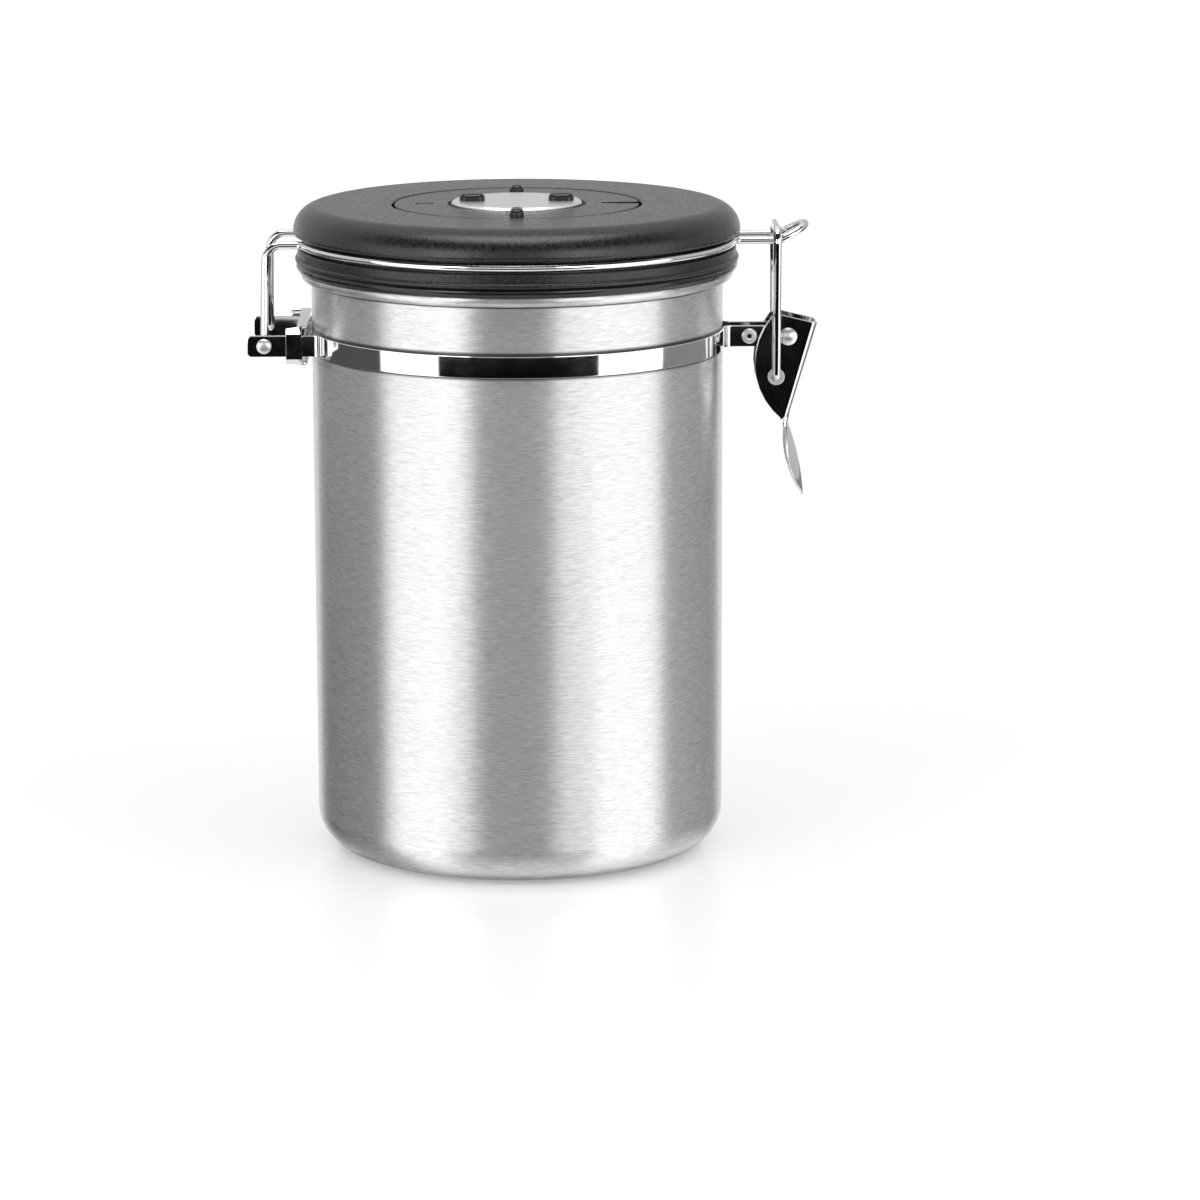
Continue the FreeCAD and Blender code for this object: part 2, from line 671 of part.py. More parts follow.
def grip_pair(at, surface_z, angle_deg):
    """Two finger grips with rounded tops, opposite each other and seated in shallow sockets."""
    low = surface_z - grip_socket_depth
    bar = stadium(at, grip_length, grip_width, low, grip_socket_depth + grip_proud)
    rim = [edge for edge in bar.Edges if edge.BoundBox.ZMin > surface_z]
    pair = ring_of(bar.makeFillet(grip_edge_round, rim), 2)
    pair.rotate(V(0, 0, 0), V(0, 0, 1), angle_deg)
    return pair


def grip_sockets(at, surface_z, angle_deg):
    low = surface_z - grip_socket_depth
    socket = stadium(at, grip_length + 2 * grip_fit, grip_width + 2 * grip_fit, low, grip_socket_depth)
    pair = ring_of(socket, 2)
    pair.rotate(V(0, 0, 0), V(0, 0, 1), angle_deg)
    return pair


def dial_ring():
    """Outer dial: flush ring with an inner flange under the disc, a dash, a wedge mark and a nail notch."""
    hole = spindle_boss_radius + spindle_boss_gap
    ring = revolve([(hole, ring_bottom), (dial_ring_radius, ring_bottom), (dial_ring_radius, ring_top),
                    (well_radius, ring_top), (well_radius, flange_top), (hole, flange_top)])
    mark_z = ring_top - mark_depth
    dash = stadium(dash_inset - ring_middle, dash_length, dash_width, mark_z, mark_depth)
    wedge_start = dial_ring_radius - wedge_length
    corners = [V(wedge_start, -wedge_narrow / 2, mark_z), V(dial_ring_radius, -wedge_wide / 2, mark_z),
               V(dial_ring_radius, wedge_wide / 2, mark_z), V(wedge_start, wedge_narrow / 2, mark_z)]
    wedge = Part.Face(Part.makePolygon(corners + corners[:1])).extrude(V(0, 0, mark_depth))
    notch = cylinder(nail_notch_radius, ring_top - flange_top, V(dial_ring_radius, 0, flange_top))
    for cutter in (dash, wedge, notch, grip_sockets(ring_middle, ring_top, 90)):
        ring = ring.cut(cutter)
    return ring


def ring_grips():
    return grip_pair(ring_middle, ring_top, 90)


def dial_disc():
    """Inner dial: turned metal disc with a bevelled edge."""
    disc = revolve([(0, disc_bottom), (disc_radius, disc_bottom), (disc_radius, disc_top - disc_bevel),
                    (disc_radius - disc_bevel, disc_top), (0, disc_top)])
    return disc.cut(grip_sockets(disc_grip_at, disc_top, 0))


def disc_grips():
    return grip_pair(disc_grip_at, disc_top, 0)


def dial_spindle():
    """Boss under the disc that turns inside the ring, with a grooved stem through the cover."""
    groove = spindle_radius - spindle_groove_depth
    tail = spring_clip_bottom - spindle_tail
    return revolve([
        (0, tail), (spindle_radius, tail), (spindle_radius, spring_clip_bottom), (groove, spring_clip_bottom),
        (groove, spring_clip_top), (spindle_radius, spring_clip_top), (spindle_radius, ring_bottom),
        (spindle_boss_radius, ring_bottom), (spindle_boss_radius, disc_bottom), (0, disc_bottom)])


def spindle_clip():
    """Open spring ring in the spindle's groove, under the cover's floor."""
    inner = spindle_radius - spindle_groove_depth + spring_clip_fit
    outer = inner + spring_clip_width
    thickness = spring_clip_thickness - 2 * spring_clip_fit
    base = V(0, 0, spring_clip_bottom + spring_clip_fit)
    ring = cylinder(outer, thickness, base).cut(cylinder(inner, thickness, base))
    return ring.cut(Part.makeBox(outer, spring_clip_slot, thickness, base - V(0, spring_clip_slot / 2, 0)))


def valve_seat():
    """Flanged cup in the plug's floor with a perforated plate that the flap closes."""
    flange = valve_radius + valve_flange_width
    rim = flap_top + flap_travel
    stem_hole = flap_stem_radius + flap_stem_fit
    seat = revolve([
        (stem_hole, seat_plate_bottom), (valve_inner, seat_plate_bottom), (valve_inner, valve_bottom),
        (flange, valve_bottom), (flange, plug_bottom), (valve_outer, plug_bottom), (valve_outer, rim),
        (valve_inner, rim), (valve_inner, seat_plate_top), (stem_hole, seat_plate_top)])
    hole = cylinder(seat_hole_radius, seat_plate, V(seat_hole_circle_radius, 0, seat_plate_bottom))
    return seat.cut(ring_of(hole, seat_hole_count))


def valve_flap():
    """Soft umbrella that lifts off the seat, with a stem and a bulb that keep it there."""
    return revolve([
        (0, bulb_bottom), (flap_stem_radius, bulb_bottom), (flap_bulb_radius, bulb_top),
        (flap_stem_radius, bulb_top), (flap_stem_radius, flap_bottom), (flap_radius, flap_bottom),
        (flap_radius, flap_bottom + flap_thickness / 2), (flap_stem_radius, flap_top), (0, flap_top)])


def valve_filter():
    """Felt disc on the cap, under the flap's bulb."""
    return cylinder(valve_inner - valve_fit, filter_thickness, V(0, 0, filter_bottom))


def valve_cap():
    """Perforated cover pressed into the underside of the seat."""
    cap = cylinder(valve_inner - valve_fit, cap_thickness, V(0, 0, valve_bottom))
    cap = cap.cut(cylinder(cap_hole_radius, cap_thickness, V(0, 0, valve_bottom)))
    cap_ring_step = (valve_inner - cap_rim_margin - cap_hole_radius) / cap_ring_count
    for ring in range(1, cap_ring_count + 1):
        hole = cylinder(cap_hole_radius, cap_thickness, V(ring * cap_ring_step, 0, valve_bottom))
        cap = cap.cut(ring_of(hole, ring * cap_holes_per_ring))
    return cap


NODES = [canister_shell, neck_band_front, neck_band_rear, hinge_clip, ear_rivet, lever_rivet,
         lever, bail_eyelets, draw_bail, lid_wire, lid_cover, lid_base, lid_gasket,
         dial_ring, ring_grips, dial_disc, disc_grips, dial_spindle, spindle_clip,
         valve_seat, valve_flap, valve_filter, valve_cap]

os.makedirs("parts", exist_ok=True)
for make in NODES:
    shape = make()
    shape.exportStep("parts/" + make.__name__ + ".step")
    print(make.__name__, len(shape.Solids), "valid" if shape.isValid() else "invalid", round(shape.Volume, 2))
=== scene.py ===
import math

import bmesh
import bpy
from mathutils import Matrix, Vector


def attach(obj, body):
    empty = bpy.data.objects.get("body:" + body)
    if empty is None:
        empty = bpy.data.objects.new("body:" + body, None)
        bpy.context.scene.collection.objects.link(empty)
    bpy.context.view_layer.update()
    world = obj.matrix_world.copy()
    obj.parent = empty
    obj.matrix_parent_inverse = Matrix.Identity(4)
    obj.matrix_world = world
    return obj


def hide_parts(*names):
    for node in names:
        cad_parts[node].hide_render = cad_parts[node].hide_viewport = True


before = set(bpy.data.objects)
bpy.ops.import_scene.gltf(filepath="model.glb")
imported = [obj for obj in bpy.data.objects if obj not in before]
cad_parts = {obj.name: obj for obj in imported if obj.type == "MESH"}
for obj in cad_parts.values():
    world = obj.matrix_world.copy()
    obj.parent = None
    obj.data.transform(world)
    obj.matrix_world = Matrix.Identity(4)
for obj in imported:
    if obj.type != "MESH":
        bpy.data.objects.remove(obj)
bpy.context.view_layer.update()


# Canister body: one deep-drawn cup of stainless steel, brushed round and round, with its open edge
# curled outwards into a hollow bead. Sizes in this file are millimetres until a piece is finished.
MILLIMETRE = 0.001
body_radius = 58.5
body_wall = 0.8
body_height = 168.1
base_corner = 11.0
bead_radius = 1.85
bead_turn = 290.0
bead_centre_x = body_radius - body_wall + bead_radius
bead_centre_z = body_height - bead_radius
bead_end = math.radians(180.0 - bead_turn)
merge_gap = 0.001
arc_step = 10.0
crease_angle = math.radians(32.0)


def draw_section(bm, moves):
    """Draws a section in the XZ plane: (x, z) is a straight run, (x, z, degrees) an arc about x, z."""
    tip = bm.verts.new((moves[0][0], 0.0, moves[0][1]))
    for move in moves[1:]:
        if len(move) == 2:
            tip = bmesh.ops.extrude_vert_indiv(bm, verts=[tip])["verts"][0]
            tip.co = (move[0], 0.0, move[1])
        else:
            x, z, degrees = move
            arc = bmesh.ops.spin(bm, geom=[tip], cent=(x, 0.0, z), axis=(0.0, -1.0, 0.0),
                                 angle=math.radians(degrees), steps=max(3, round(abs(degrees) / arc_step)))
            tip = [item for item in arc["geom_last"] if isinstance(item, bmesh.types.BMVert)][0]
    bmesh.ops.remove_doubles(bm, verts=bm.verts, dist=merge_gap)


def turn_on_lathe(bm, steps):
    """Turns a drawn section once round the Z axis."""
    bmesh.ops.spin(bm, geom=bm.verts[:] + bm.edges[:], cent=(0.0, 0.0, 0.0), axis=(0.0, 0.0, 1.0),
                   angle=2.0 * math.pi, steps=steps, use_merge=True)
    bmesh.ops.remove_doubles(bm, verts=bm.verts, dist=merge_gap)
    bmesh.ops.recalc_face_normals(bm, faces=bm.faces)


def finish_piece(name, bm, finish, body, nodes):
    """Scales a mesh to metres, gives it its finish and hangs it on the body that carries it."""
    bmesh.ops.scale(bm, vec=(MILLIMETRE, MILLIMETRE, MILLIMETRE), verts=bm.verts)
    mesh = bpy.data.meshes.new(name)
    bm.to_mesh(mesh)
    bm.free()
    mesh.shade_smooth()
    mesh.set_sharp_from_angle(angle=crease_angle)
    mesh.materials.append(finish)
    piece = bpy.data.objects.new(name, mesh)
    bpy.context.scene.collection.objects.link(piece)
    piece.modifiers.new("even_shading", "WEIGHTED_NORMAL").keep_sharp = True
    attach(piece, body)
    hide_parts(*nodes)
    return piece


def effect_group(name, inputs, outputs):
    """Starts a shader node group with named sockets."""
    group = bpy.data.node_groups.new(name, "ShaderNodeTree")
    for label, kind in inputs:
        group.interface.new_socket(label, in_out="INPUT", socket_type=kind)
    for label, kind in outputs:
        group.interface.new_socket(label, in_out="OUTPUT", socket_type=kind)
    return group, group.nodes.new("NodeGroupInput"), group.nodes.new("NodeGroupOutput")


def noise_in(tree, vector, scale, detail, rough):
    """Adds a noise texture to a node tree."""
    node = tree.nodes.new("ShaderNodeTexNoise")
    node.inputs["Scale"].default_value = scale
    node.inputs["Detail"].default_value = detail
    node.inputs["Roughness"].default_value = rough
    tree.links.new(vector, node.inputs["Vector"])
    return node


brush_strokes, entry, leave = effect_group(
    "brush_strokes", [("Vector", "NodeSocketVector"), ("Strokes", "NodeSocketVector")],
    [("Stroke", "NodeSocketFloat"), ("Streak", "NodeSocketFloat")])
stretch = brush_strokes.nodes.new("ShaderNodeVectorMath")
stretch.operation = "MULTIPLY"
brush_strokes.links.new(entry.outputs["Vector"], stretch.inputs[0])
brush_strokes.links.new(entry.outputs["Strokes"], stretch.inputs[1])
fine = noise_in(brush_strokes, stretch.outputs["Vector"], scale=1.0, detail=4.0, rough=0.62)
broad = noise_in(brush_strokes, stretch.outputs["Vector"], scale=0.5, detail=2.0, rough=0.5)
brush_strokes.links.new(fine.outputs["Fac"], leave.inputs["Stroke"])
brush_strokes.links.new(broad.outputs["Fac"], leave.inputs["Streak"])


def new_finish(name):
    """A new material with its Principled shader and Object coordinates."""
    finish = bpy.data.materials.new(name)
    finish.use_nodes = True
    tree = finish.node_tree
    place = tree.nodes.new("ShaderNodeTexCoord").outputs["Object"]
    return finish, tree, tree.nodes["Principled BSDF"], place


def use_group(tree, group, place, **values):
    """Puts an effect group into a material and sets its inputs."""
    node = tree.nodes.new("ShaderNodeGroup")
    node.node_tree = group
    tree.links.new(place, node.inputs["Vector"])
    for label, value in values.items():
        node.inputs[label].default_value = value
    return node


noise_low = 0.3
noise_high = 0.7


def math_node(tree, operation, first, second=None):
    """Adds a Math node, with its inputs from sockets or from a number."""
    node = tree.nodes.new("ShaderNodeMath")
    node.operation = operation
    for socket, source in zip(node.inputs, (first, second)):
        if isinstance(source, float):
            socket.default_value = source
        elif source is not None:
            tree.links.new(source, socket)
    return node


def spread(tree, source, low, high, out_low, out_high, target):
    """Maps a changing value from one range to another and feeds it to a socket."""
    node = tree.nodes.new("ShaderNodeMapRange")
    for label, value in (("From Min", low), ("From Max", high), ("To Min", out_low), ("To Max", out_high)):
        node.inputs[label].default_value = value
    tree.links.new(source, node.inputs["Value"])
    tree.links.new(node.outputs["Result"], target)


def tint(tree, source, dark, light, target):
    """Blends two colours by a changing value and feeds the result to a socket."""
    node = tree.nodes.new("ShaderNodeMix")
    node.data_type = "RGBA"
    spread(tree, source, noise_low, noise_high, 0.0, 1.0, node.inputs["Factor"])
    node.inputs["A"].default_value = (*dark, 1.0)
    node.inputs["B"].default_value = (*light, 1.0)
    tree.links.new(node.outputs["Result"], target)


def emboss(tree, source, shader, strength, depth):
    """Raises a surface by a changing value, with depth in metres."""
    node = tree.nodes.new("ShaderNodeBump")
    node.inputs["Strength"].default_value = strength
    node.inputs["Distance"].default_value = depth
    tree.links.new(source, node.inputs["Height"])
    tree.links.new(node.outputs["Normal"], shader.inputs["Normal"])


def brushed_metal(name, strokes, dark, light, smooth, rough, depth):
    """Steel with fine parallel strokes, given as strokes per metre along each axis."""
    finish, tree, shader, place = new_finish(name)
    marks = use_group(tree, brush_strokes, place, Strokes=strokes)
    shader.inputs["Metallic"].default_value = 1.0
    tint(tree, marks.outputs["Stroke"], dark, light, shader.inputs["Base Color"])
    spread(tree, marks.outputs["Streak"], noise_low, noise_high, smooth, rough, shader.inputs["Roughness"])
    emboss(tree, marks.outputs["Stroke"], shader, strength=0.3, depth=depth)
    return finish


stroke_depth = 0.00001
steel_round = brushed_metal("brushed_steel_round", strokes=(290.0, 290.0, 3400.0),
                            dark=(0.53, 0.53, 0.525), light=(0.83, 0.83, 0.82),
                            smooth=0.35, rough=0.41, depth=stroke_depth)
round_shader = steel_round.node_tree.nodes["Principled BSDF"]
round_shader.inputs["Anisotropic"].default_value = 0.85
round_shader.inputs["Anisotropic Rotation"].default_value = 0.25
around = steel_round.node_tree.nodes.new("ShaderNodeTangent")
around.direction_type = "RADIAL"
around.axis = "Z"
steel_round.node_tree.links.new(around.outputs["Tangent"], round_shader.inputs["Tangent"])

# Painted shade: dark lines painted on the outside of the body along both edges of the straps and under the
# bead, standing in for the shadow in those gaps.
strap_edge_shade = (147.8, 3.4, 0.7)
bead_crease_shade = (164.15, 0.15, 0.35)
seam_shade_colour = (0.09, 0.09, 0.09)
skin_from = (body_radius - 0.5) * MILLIMETRE
skin_to = (body_radius - 0.2) * MILLIMETRE


def seam_shade(tree, shader):
    """Paints shade on the outside of the body along both edges of the straps and in the crease under the
    bead, where the gaps lie in shadow. Each painted line is given as its level, half width and fade."""
    # Mixes the painted shade colour into the steel's own colour.
    painted_shade = tree.nodes.new("ShaderNodeMix")
    painted_shade.data_type = "RGBA"
    tree.links.new(shader.inputs["Base Color"].links[0].from_socket, painted_shade.inputs["A"])
    painted_shade.inputs["B"].default_value = (*seam_shade_colour, 1.0)
    tree.links.new(painted_shade.outputs["Result"], shader.inputs["Base Color"])
    place = tree.nodes["Texture Coordinate"].outputs["Object"]
    split = tree.nodes.new("ShaderNodeSeparateXYZ")
    tree.links.new(place, split.inputs["Vector"])
    deepest = math_node(tree, "MAXIMUM", None)
    for socket, (middle, half, fade) in zip(deepest.inputs, (strap_edge_shade, bead_crease_shade)):
        offset = math_node(tree, "SUBTRACT", split.outputs["Z"], middle * MILLIMETRE)
        away = math_node(tree, "ABSOLUTE", offset.outputs["Value"])
        spread(tree, away.outputs["Value"], half * MILLIMETRE, (half + fade) * MILLIMETRE, 1.0, 0.0, socket)
    flat = tree.nodes.new("ShaderNodeVectorMath")
    flat.operation = "MULTIPLY"
    tree.links.new(place, flat.inputs[0])
    flat.inputs[1].default_value = (1.0, 1.0, 0.0)
    reach = tree.nodes.new("ShaderNodeVectorMath")
    reach.operation = "LENGTH"
    tree.links.new(flat.outputs["Vector"], reach.inputs[0])
    outside = math_node(tree, "MULTIPLY", deepest.outputs["Value"])
    spread(tree, reach.outputs["Value"], skin_from, skin_to, 0.0, 1.0, outside.inputs[1])
    tree.links.new(outside.outputs["Value"], painted_shade.inputs["Factor"])


# The brushed body gets its painted shade lines along the strap edges and under the bead.
seam_shade(steel_round.node_tree, round_shader)
cup = bmesh.new()
draw_section(cup, [
    (0.0, 0.0), (body_radius - base_corner, 0.0),
    (body_radius - base_corner, base_corner, 90.0), (body_radius, bead_centre_z),
    (bead_centre_x, bead_centre_z, -bead_turn),
    (bead_centre_x + bead_radius * math.cos(bead_end), bead_centre_z + bead_radius * math.sin(bead_end)),
    (bead_centre_x, bead_centre_z, bead_turn),
    (body_radius - body_wall, base_corner),
    (body_radius - base_corner, base_corner, -90.0), (0.0, body_wall)])
turn_on_lathe(cup, steps=256)
finish_piece("brushed_cup", cup, steel_round, "canister", ["canister_shell"])


# Neck straps: two half bands of polished strip steel that clamp the neck under the bead. Each ends in
# a tang on the hinge side and in a round-ended ear on the clasp side.
strap_inside = 58.55
strap_sheet = 0.8
strap_width = 6.1
strap_level = 147.7
tang_offset = 18.2
tang_end = -76.0
tang_corner = 0.8
ear_offset = 3.5
ear_end = 80.05
ear_corner = 3.05
strap_bend = 3.0
strap_edge = 0.25
band_step = 1.5
same_place = 0.01
sharp_corner = 1.0
UP = Vector((0.0, 0.0, 1.0))


def push(bm, edges, step):
    """Extrudes a line of edges straight on."""
    made = bmesh.ops.extrude_edge_only(bm, edges=edges)["geom"]
    verts = [item for item in made if isinstance(item, bmesh.types.BMVert)]
    bmesh.ops.translate(bm, vec=step, verts=verts)
    moved = set(verts)
    return [item for item in made if isinstance(item, bmesh.types.BMEdge) and moved.issuperset(item.verts)]


def swing(bm, edges, centre, axis, degrees, finest=6.0):
    """Bends a line of edges round a centre."""
    verts = list({vert for edge in edges for vert in edge.verts})
    made = bmesh.ops.spin(bm, geom=verts + edges, cent=centre, axis=axis, angle=math.radians(degrees),
                          steps=max(2, round(abs(degrees) / finest)))["geom_last"]
    return [item for item in made if isinstance(item, bmesh.types.BMEdge)]


def thicken(bm, sheet, edge_round):
    """Gives a sheet its thickness, and breaks its sharp edges."""
    bmesh.ops.solidify(bm, geom=bm.faces[:], thickness=sheet)
    bmesh.ops.recalc_face_normals(bm, faces=bm.faces)
    sharp = [edge for edge in bm.edges if edge.is_manifold and edge.calc_face_angle() > sharp_corner]
    bmesh.ops.bevel(bm, geom=sharp, offset=edge_round, segments=2, profile=0.5, affect="EDGES", material=-1)


smudges, entry, leave = effect_group(
    "smudges", [("Vector", "NodeSocketVector"), ("Size", "NodeSocketFloat")], [("Smudge", "NodeSocketFloat")])
cloud = noise_in(smudges, entry.outputs["Vector"], scale=1.0, detail=5.0, rough=0.6)
cloud.inputs["Distortion"].default_value = 0.5
smudges.links.new(entry.outputs["Size"], cloud.inputs["Scale"])
smudges.links.new(cloud.outputs["Fac"], leave.inputs["Smudge"])


smudge_low = 0.35


def polished_metal(name, dark, light, smooth, rough):
    """Bright metal with faint smudges and buffing marks."""
    finish, tree, shader, place = new_finish(name)
    marks = use_group(tree, smudges, place, Size=90.0)
    buffing = use_group(tree, brush_strokes, place, Strokes=(400.0, 400.0, 2600.0))
    shader.inputs["Metallic"].default_value = 1.0
    tint(tree, marks.outputs["Smudge"], dark, light, shader.inputs["Base Color"])
    spread(tree, marks.outputs["Smudge"], smudge_low, noise_high, smooth, rough, shader.inputs["Roughness"])
    emboss(tree, buffing.outputs["Streak"], shader, strength=0.04, depth=stroke_depth)
    return finish


chrome = polished_metal("polished_steel", dark=(0.72, 0.72, 0.71), light=(0.80, 0.80, 0.79),
                        smooth=0.05, rough=0.10)
satin_steel = polished_metal("satin_steel", dark=(0.74, 0.74, 0.73), light=(0.84, 0.84, 0.83),
                             smooth=0.36, rough=0.46)


def fold_strap(bm, side):
    """One strap, from its tang round the neck to its ear; side -1 is the front."""
    out = strap_inside + strap_bend
    tang_y = tang_offset + strap_bend
    ear_y = ear_offset + strap_bend
    tang_centre = Vector((-math.sqrt(out ** 2 - tang_y ** 2), -tang_y, 0.0))
    ear_centre = Vector((math.sqrt(out ** 2 - ear_y ** 2), -ear_y, 0.0))
    tang_turn = math.degrees(math.atan2(-tang_centre.y, -tang_centre.x))
    ear_turn = math.degrees(math.atan2(-ear_centre.y, ear_centre.x))
    low = bm.verts.new((tang_end, -tang_offset, strap_level - strap_width / 2.0))
    high = bm.verts.new((tang_end, -tang_offset, strap_level + strap_width / 2.0))
    start = [bm.edges.new((low, high))]
    line = push(bm, start, (tang_centre.x - tang_end, 0.0, 0.0))
    line = swing(bm, line, tang_centre, UP, tang_turn - 90.0)
    line = swing(bm, line, Vector(), UP, 180.0 - tang_turn - ear_turn, finest=band_step)
    line = swing(bm, line, ear_centre, UP, ear_turn - 90.0)
    push(bm, line, (ear_end - ear_centre.x, 0.0, 0.0))
    tang_corners = [vert for vert in bm.verts if vert.co.x < tang_end + same_place]
    bmesh.ops.bevel(bm, geom=tang_corners, offset=tang_corner, segments=1, profile=0.5,
                    affect="VERTICES", material=-1)
    ear_corners = [vert for vert in bm.verts if vert.co.x > ear_end - same_place]
    bmesh.ops.bevel(bm, geom=ear_corners, offset=ear_corner - same_place, segments=8, profile=0.5,
                    affect="VERTICES", material=-1)
    bmesh.ops.recalc_face_normals(bm, faces=bm.faces)
    bm.faces.ensure_lookup_table()
    middle = min(bm.faces, key=lambda face: face.calc_center_median().y)
    if middle.normal.y > 0.0:
        bmesh.ops.reverse_faces(bm, faces=bm.faces)
    thicken(bm, -strap_sheet, strap_edge)
    if side > 0:
        bmesh.ops.scale(bm, vec=(1.0, -1.0, 1.0), verts=bm.verts)
        bmesh.ops.recalc_face_normals(bm, faces=bm.faces)


for strap_name, strap_node, strap_face in (("neck_strap_front", "neck_band_front", -1),
                                           ("neck_strap_rear", "neck_band_rear", 1)):
    strap = bmesh.new()
    fold_strap(strap, strap_face)
    finish_piece(strap_name, strap, chrome, "canister", [strap_node])


# Hinge clip: a closed loop of folded sheet round both tangs. Two wide legs lie outside the tangs, and
# narrower bars join them above and below.
clip_inside_y = 19.1
clip_inside_z = 4.45
clip_sheet = 1.0
clip_shoulder = 1.3
clip_edge = 0.35
clip_leg_far = -65.2
clip_bar_far = -62.2
clip_leg_near = -60.5
clip_bar_near = -59.2
loop = bmesh.new()
start = bmesh.ops.create_grid(loop, x_segments=1, y_segments=1, size=1.0)["verts"]
for vert in start:
    across = math.copysign(clip_inside_y, vert.co.x)
    along = math.copysign(clip_inside_z, vert.co.y)
    vert.co = (clip_leg_far, across, strap_level + along)
bmesh.ops.delete(loop, geom=loop.faces[:], context="FACES_ONLY")
bmesh.ops.bevel(loop, geom=loop.verts[:], offset=clip_shoulder, segments=1, profile=0.5,
                affect="VERTICES", material=-1)
rim = loop.edges[:]
for reach in (clip_bar_far - clip_leg_far, clip_leg_near - clip_bar_far, clip_bar_near - clip_leg_near):
    rim = push(loop, rim, (reach, 0.0, 0.0))


def beyond_bars(face):
    """True where the bars start later than the legs, or the legs end before the bars."""
    centre = face.calc_center_median()
    if abs(centre.y) < clip_inside_y - clip_shoulder:
        return centre.x < clip_bar_far
    return centre.x > clip_leg_near


bmesh.ops.delete(loop, geom=[face for face in loop.faces if beyond_bars(face)], context="FACES")
bmesh.ops.recalc_face_normals(loop, faces=loop.faces)
thicken(loop, -clip_sheet, clip_edge)
finish_piece("hinge_clip_loop", loop, chrome, "canister", ["hinge_clip"])


# Ear rivets: a tubular rivet ties the two ears together, and a domed rivet further out is the lever's
# pivot. Both are steel, set across the ears.
ear_rivet_x = 66.0
tube_bore = 0.7
tube_mouth = 1.0
tube_mouth_level = 4.5
tube_shank = 1.3
tube_grip = 4.3
tube_flange = 2.2
tube_roll = (1.5, 4.1)
tube_roll_turn = 80.0
tube_end = 4.8
pivot_x = 77.0
pivot_shank = 1.6
pivot_grip = 5.6
pivot_head = 2.5
pivot_end = 6.5
dome_radius = 3.9222
dome_turn = 39.6
QUARTER_TURN = math.radians(90.0)


def lay_across(bm, x, z):
    """Lays a turned piece along Y and moves it to its place."""
    bmesh.ops.rotate(bm, cent=(0.0, 0.0, 0.0), matrix=Matrix.Rotation(QUARTER_TURN, 3, "X"), verts=bm.verts)
    bmesh.ops.translate(bm, vec=(x, 0.0, z), verts=bm.verts)


tube = bmesh.new()
draw_section(tube, [
    (tube_bore, -tube_mouth_level), (tube_mouth, -tube_end), (tube_roll[0], -tube_end),
    (tube_roll[0], -tube_roll[1], tube_roll_turn), (tube_flange, -tube_grip), (tube_shank, -tube_grip),
    (tube_shank, tube_grip), (tube_flange, tube_grip), (*tube_roll, tube_roll_turn),
    (tube_roll[0], tube_end), (tube_mouth, tube_end), (tube_bore, tube_mouth_level),
    (tube_bore, -tube_mouth_level)])
turn_on_lathe(tube, steps=40)
lay_across(tube, ear_rivet_x, strap_level)
finish_piece("ear_tube_rivet", tube, satin_steel, "canister", ["ear_rivet"])
pivot = bmesh.new()
draw_section(pivot, [
    (0.0, -pivot_end), (0.0, dome_radius - pivot_end, dome_turn), (pivot_shank, -pivot_grip),
    (pivot_shank, pivot_grip), (pivot_head, pivot_grip), (0.0, pivot_end - dome_radius, dome_turn)])
turn_on_lathe(pivot, steps=48)
lay_across(pivot, pivot_x, strap_level)
finish_piece("lever_pivot_rivet", pivot, satin_steel, "canister", ["lever_rivet"])


# Clasp lever: sheet steel folded into a channel that is open towards the canister, with a short neck
# and a dished thumb tab below. Two flanged eyelets in its cheeks take the feet of the bail.
lever_half = 5.5
lever_sheet = 0.8
lever_fold = 2.2
lever_edge = 0.15
crown = (pivot_x - 1.9, strap_level + 6.2)
web_top = (pivot_x + 8.4, strap_level + 3.7)
web_foot = (pivot_x + 0.5, strap_level - 22.4)
heel = (pivot_x - 1.7, strap_level - 23.9)
belly_centre = (88.4042, 140.0899)
belly_turn = -90.3733
neck_half = 3.8
neck_drop = 3.2
tab_length = 21.5
tab_half = 7.4
tab_widest = 10.5
tab_tip_half = 2.4
tab_tip_drop = 0.8
tab_lean = 12.0
tab_bow = 70.0
tab_dish_axis = -9.3
tab_edge = 0.2
tab_rows = 40
tab_columns = 12
neck_rows = 4
row_crowding = 1.6
bail_x = 73.6
bail_z = 136.2
eyelet_bore = 1.21
eyelet_bush = 1.81
eyelet_flange = 2.41
eyelet_inner = 4.7
eyelet_seat = 5.5
eyelet_rim = 5.7
eyelet_chamfer = 0.15


def on_web(vert):
    """True at the two ends of the web's straight line."""
    return any((vert.co.xz - Vector(end)).length < same_place for end in (web_top, web_foot))


def on_fold(vert):
    """True in the planes of the two cheeks."""
    return abs(abs(vert.co.y) - lever_half) < same_place


channel = bmesh.new()
draw_section(channel, [heel, (*belly_centre, belly_turn), crown, web_top, web_foot, heel])
bmesh.ops.translate(channel, vec=(0.0, -lever_half, 0.0), verts=channel.verts)
bmesh.ops.contextual_create(channel, geom=channel.verts[:] + channel.edges[:])
web_edge = [edge for edge in channel.edges if all(map(on_web, edge.verts))]
push(channel, web_edge, (0.0, lever_half, 0.0))
bmesh.ops.mirror(channel, geom=channel.verts[:] + channel.edges[:] + channel.faces[:],
                 matrix=Matrix.Identity(4), merge_dist=merge_gap, axis="Y")
bmesh.ops.remove_doubles(channel, verts=channel.verts, dist=merge_gap)
folds = [edge for edge in channel.edges if edge.is_manifold and all(map(on_fold, edge.verts))]
bmesh.ops.bevel(channel, geom=folds, offset=lever_fold, segments=6, profile=0.5, affect="EDGES", material=-1)
bmesh.ops.recalc_face_normals(channel, faces=channel.faces)
thicken(channel, lever_sheet, lever_edge)

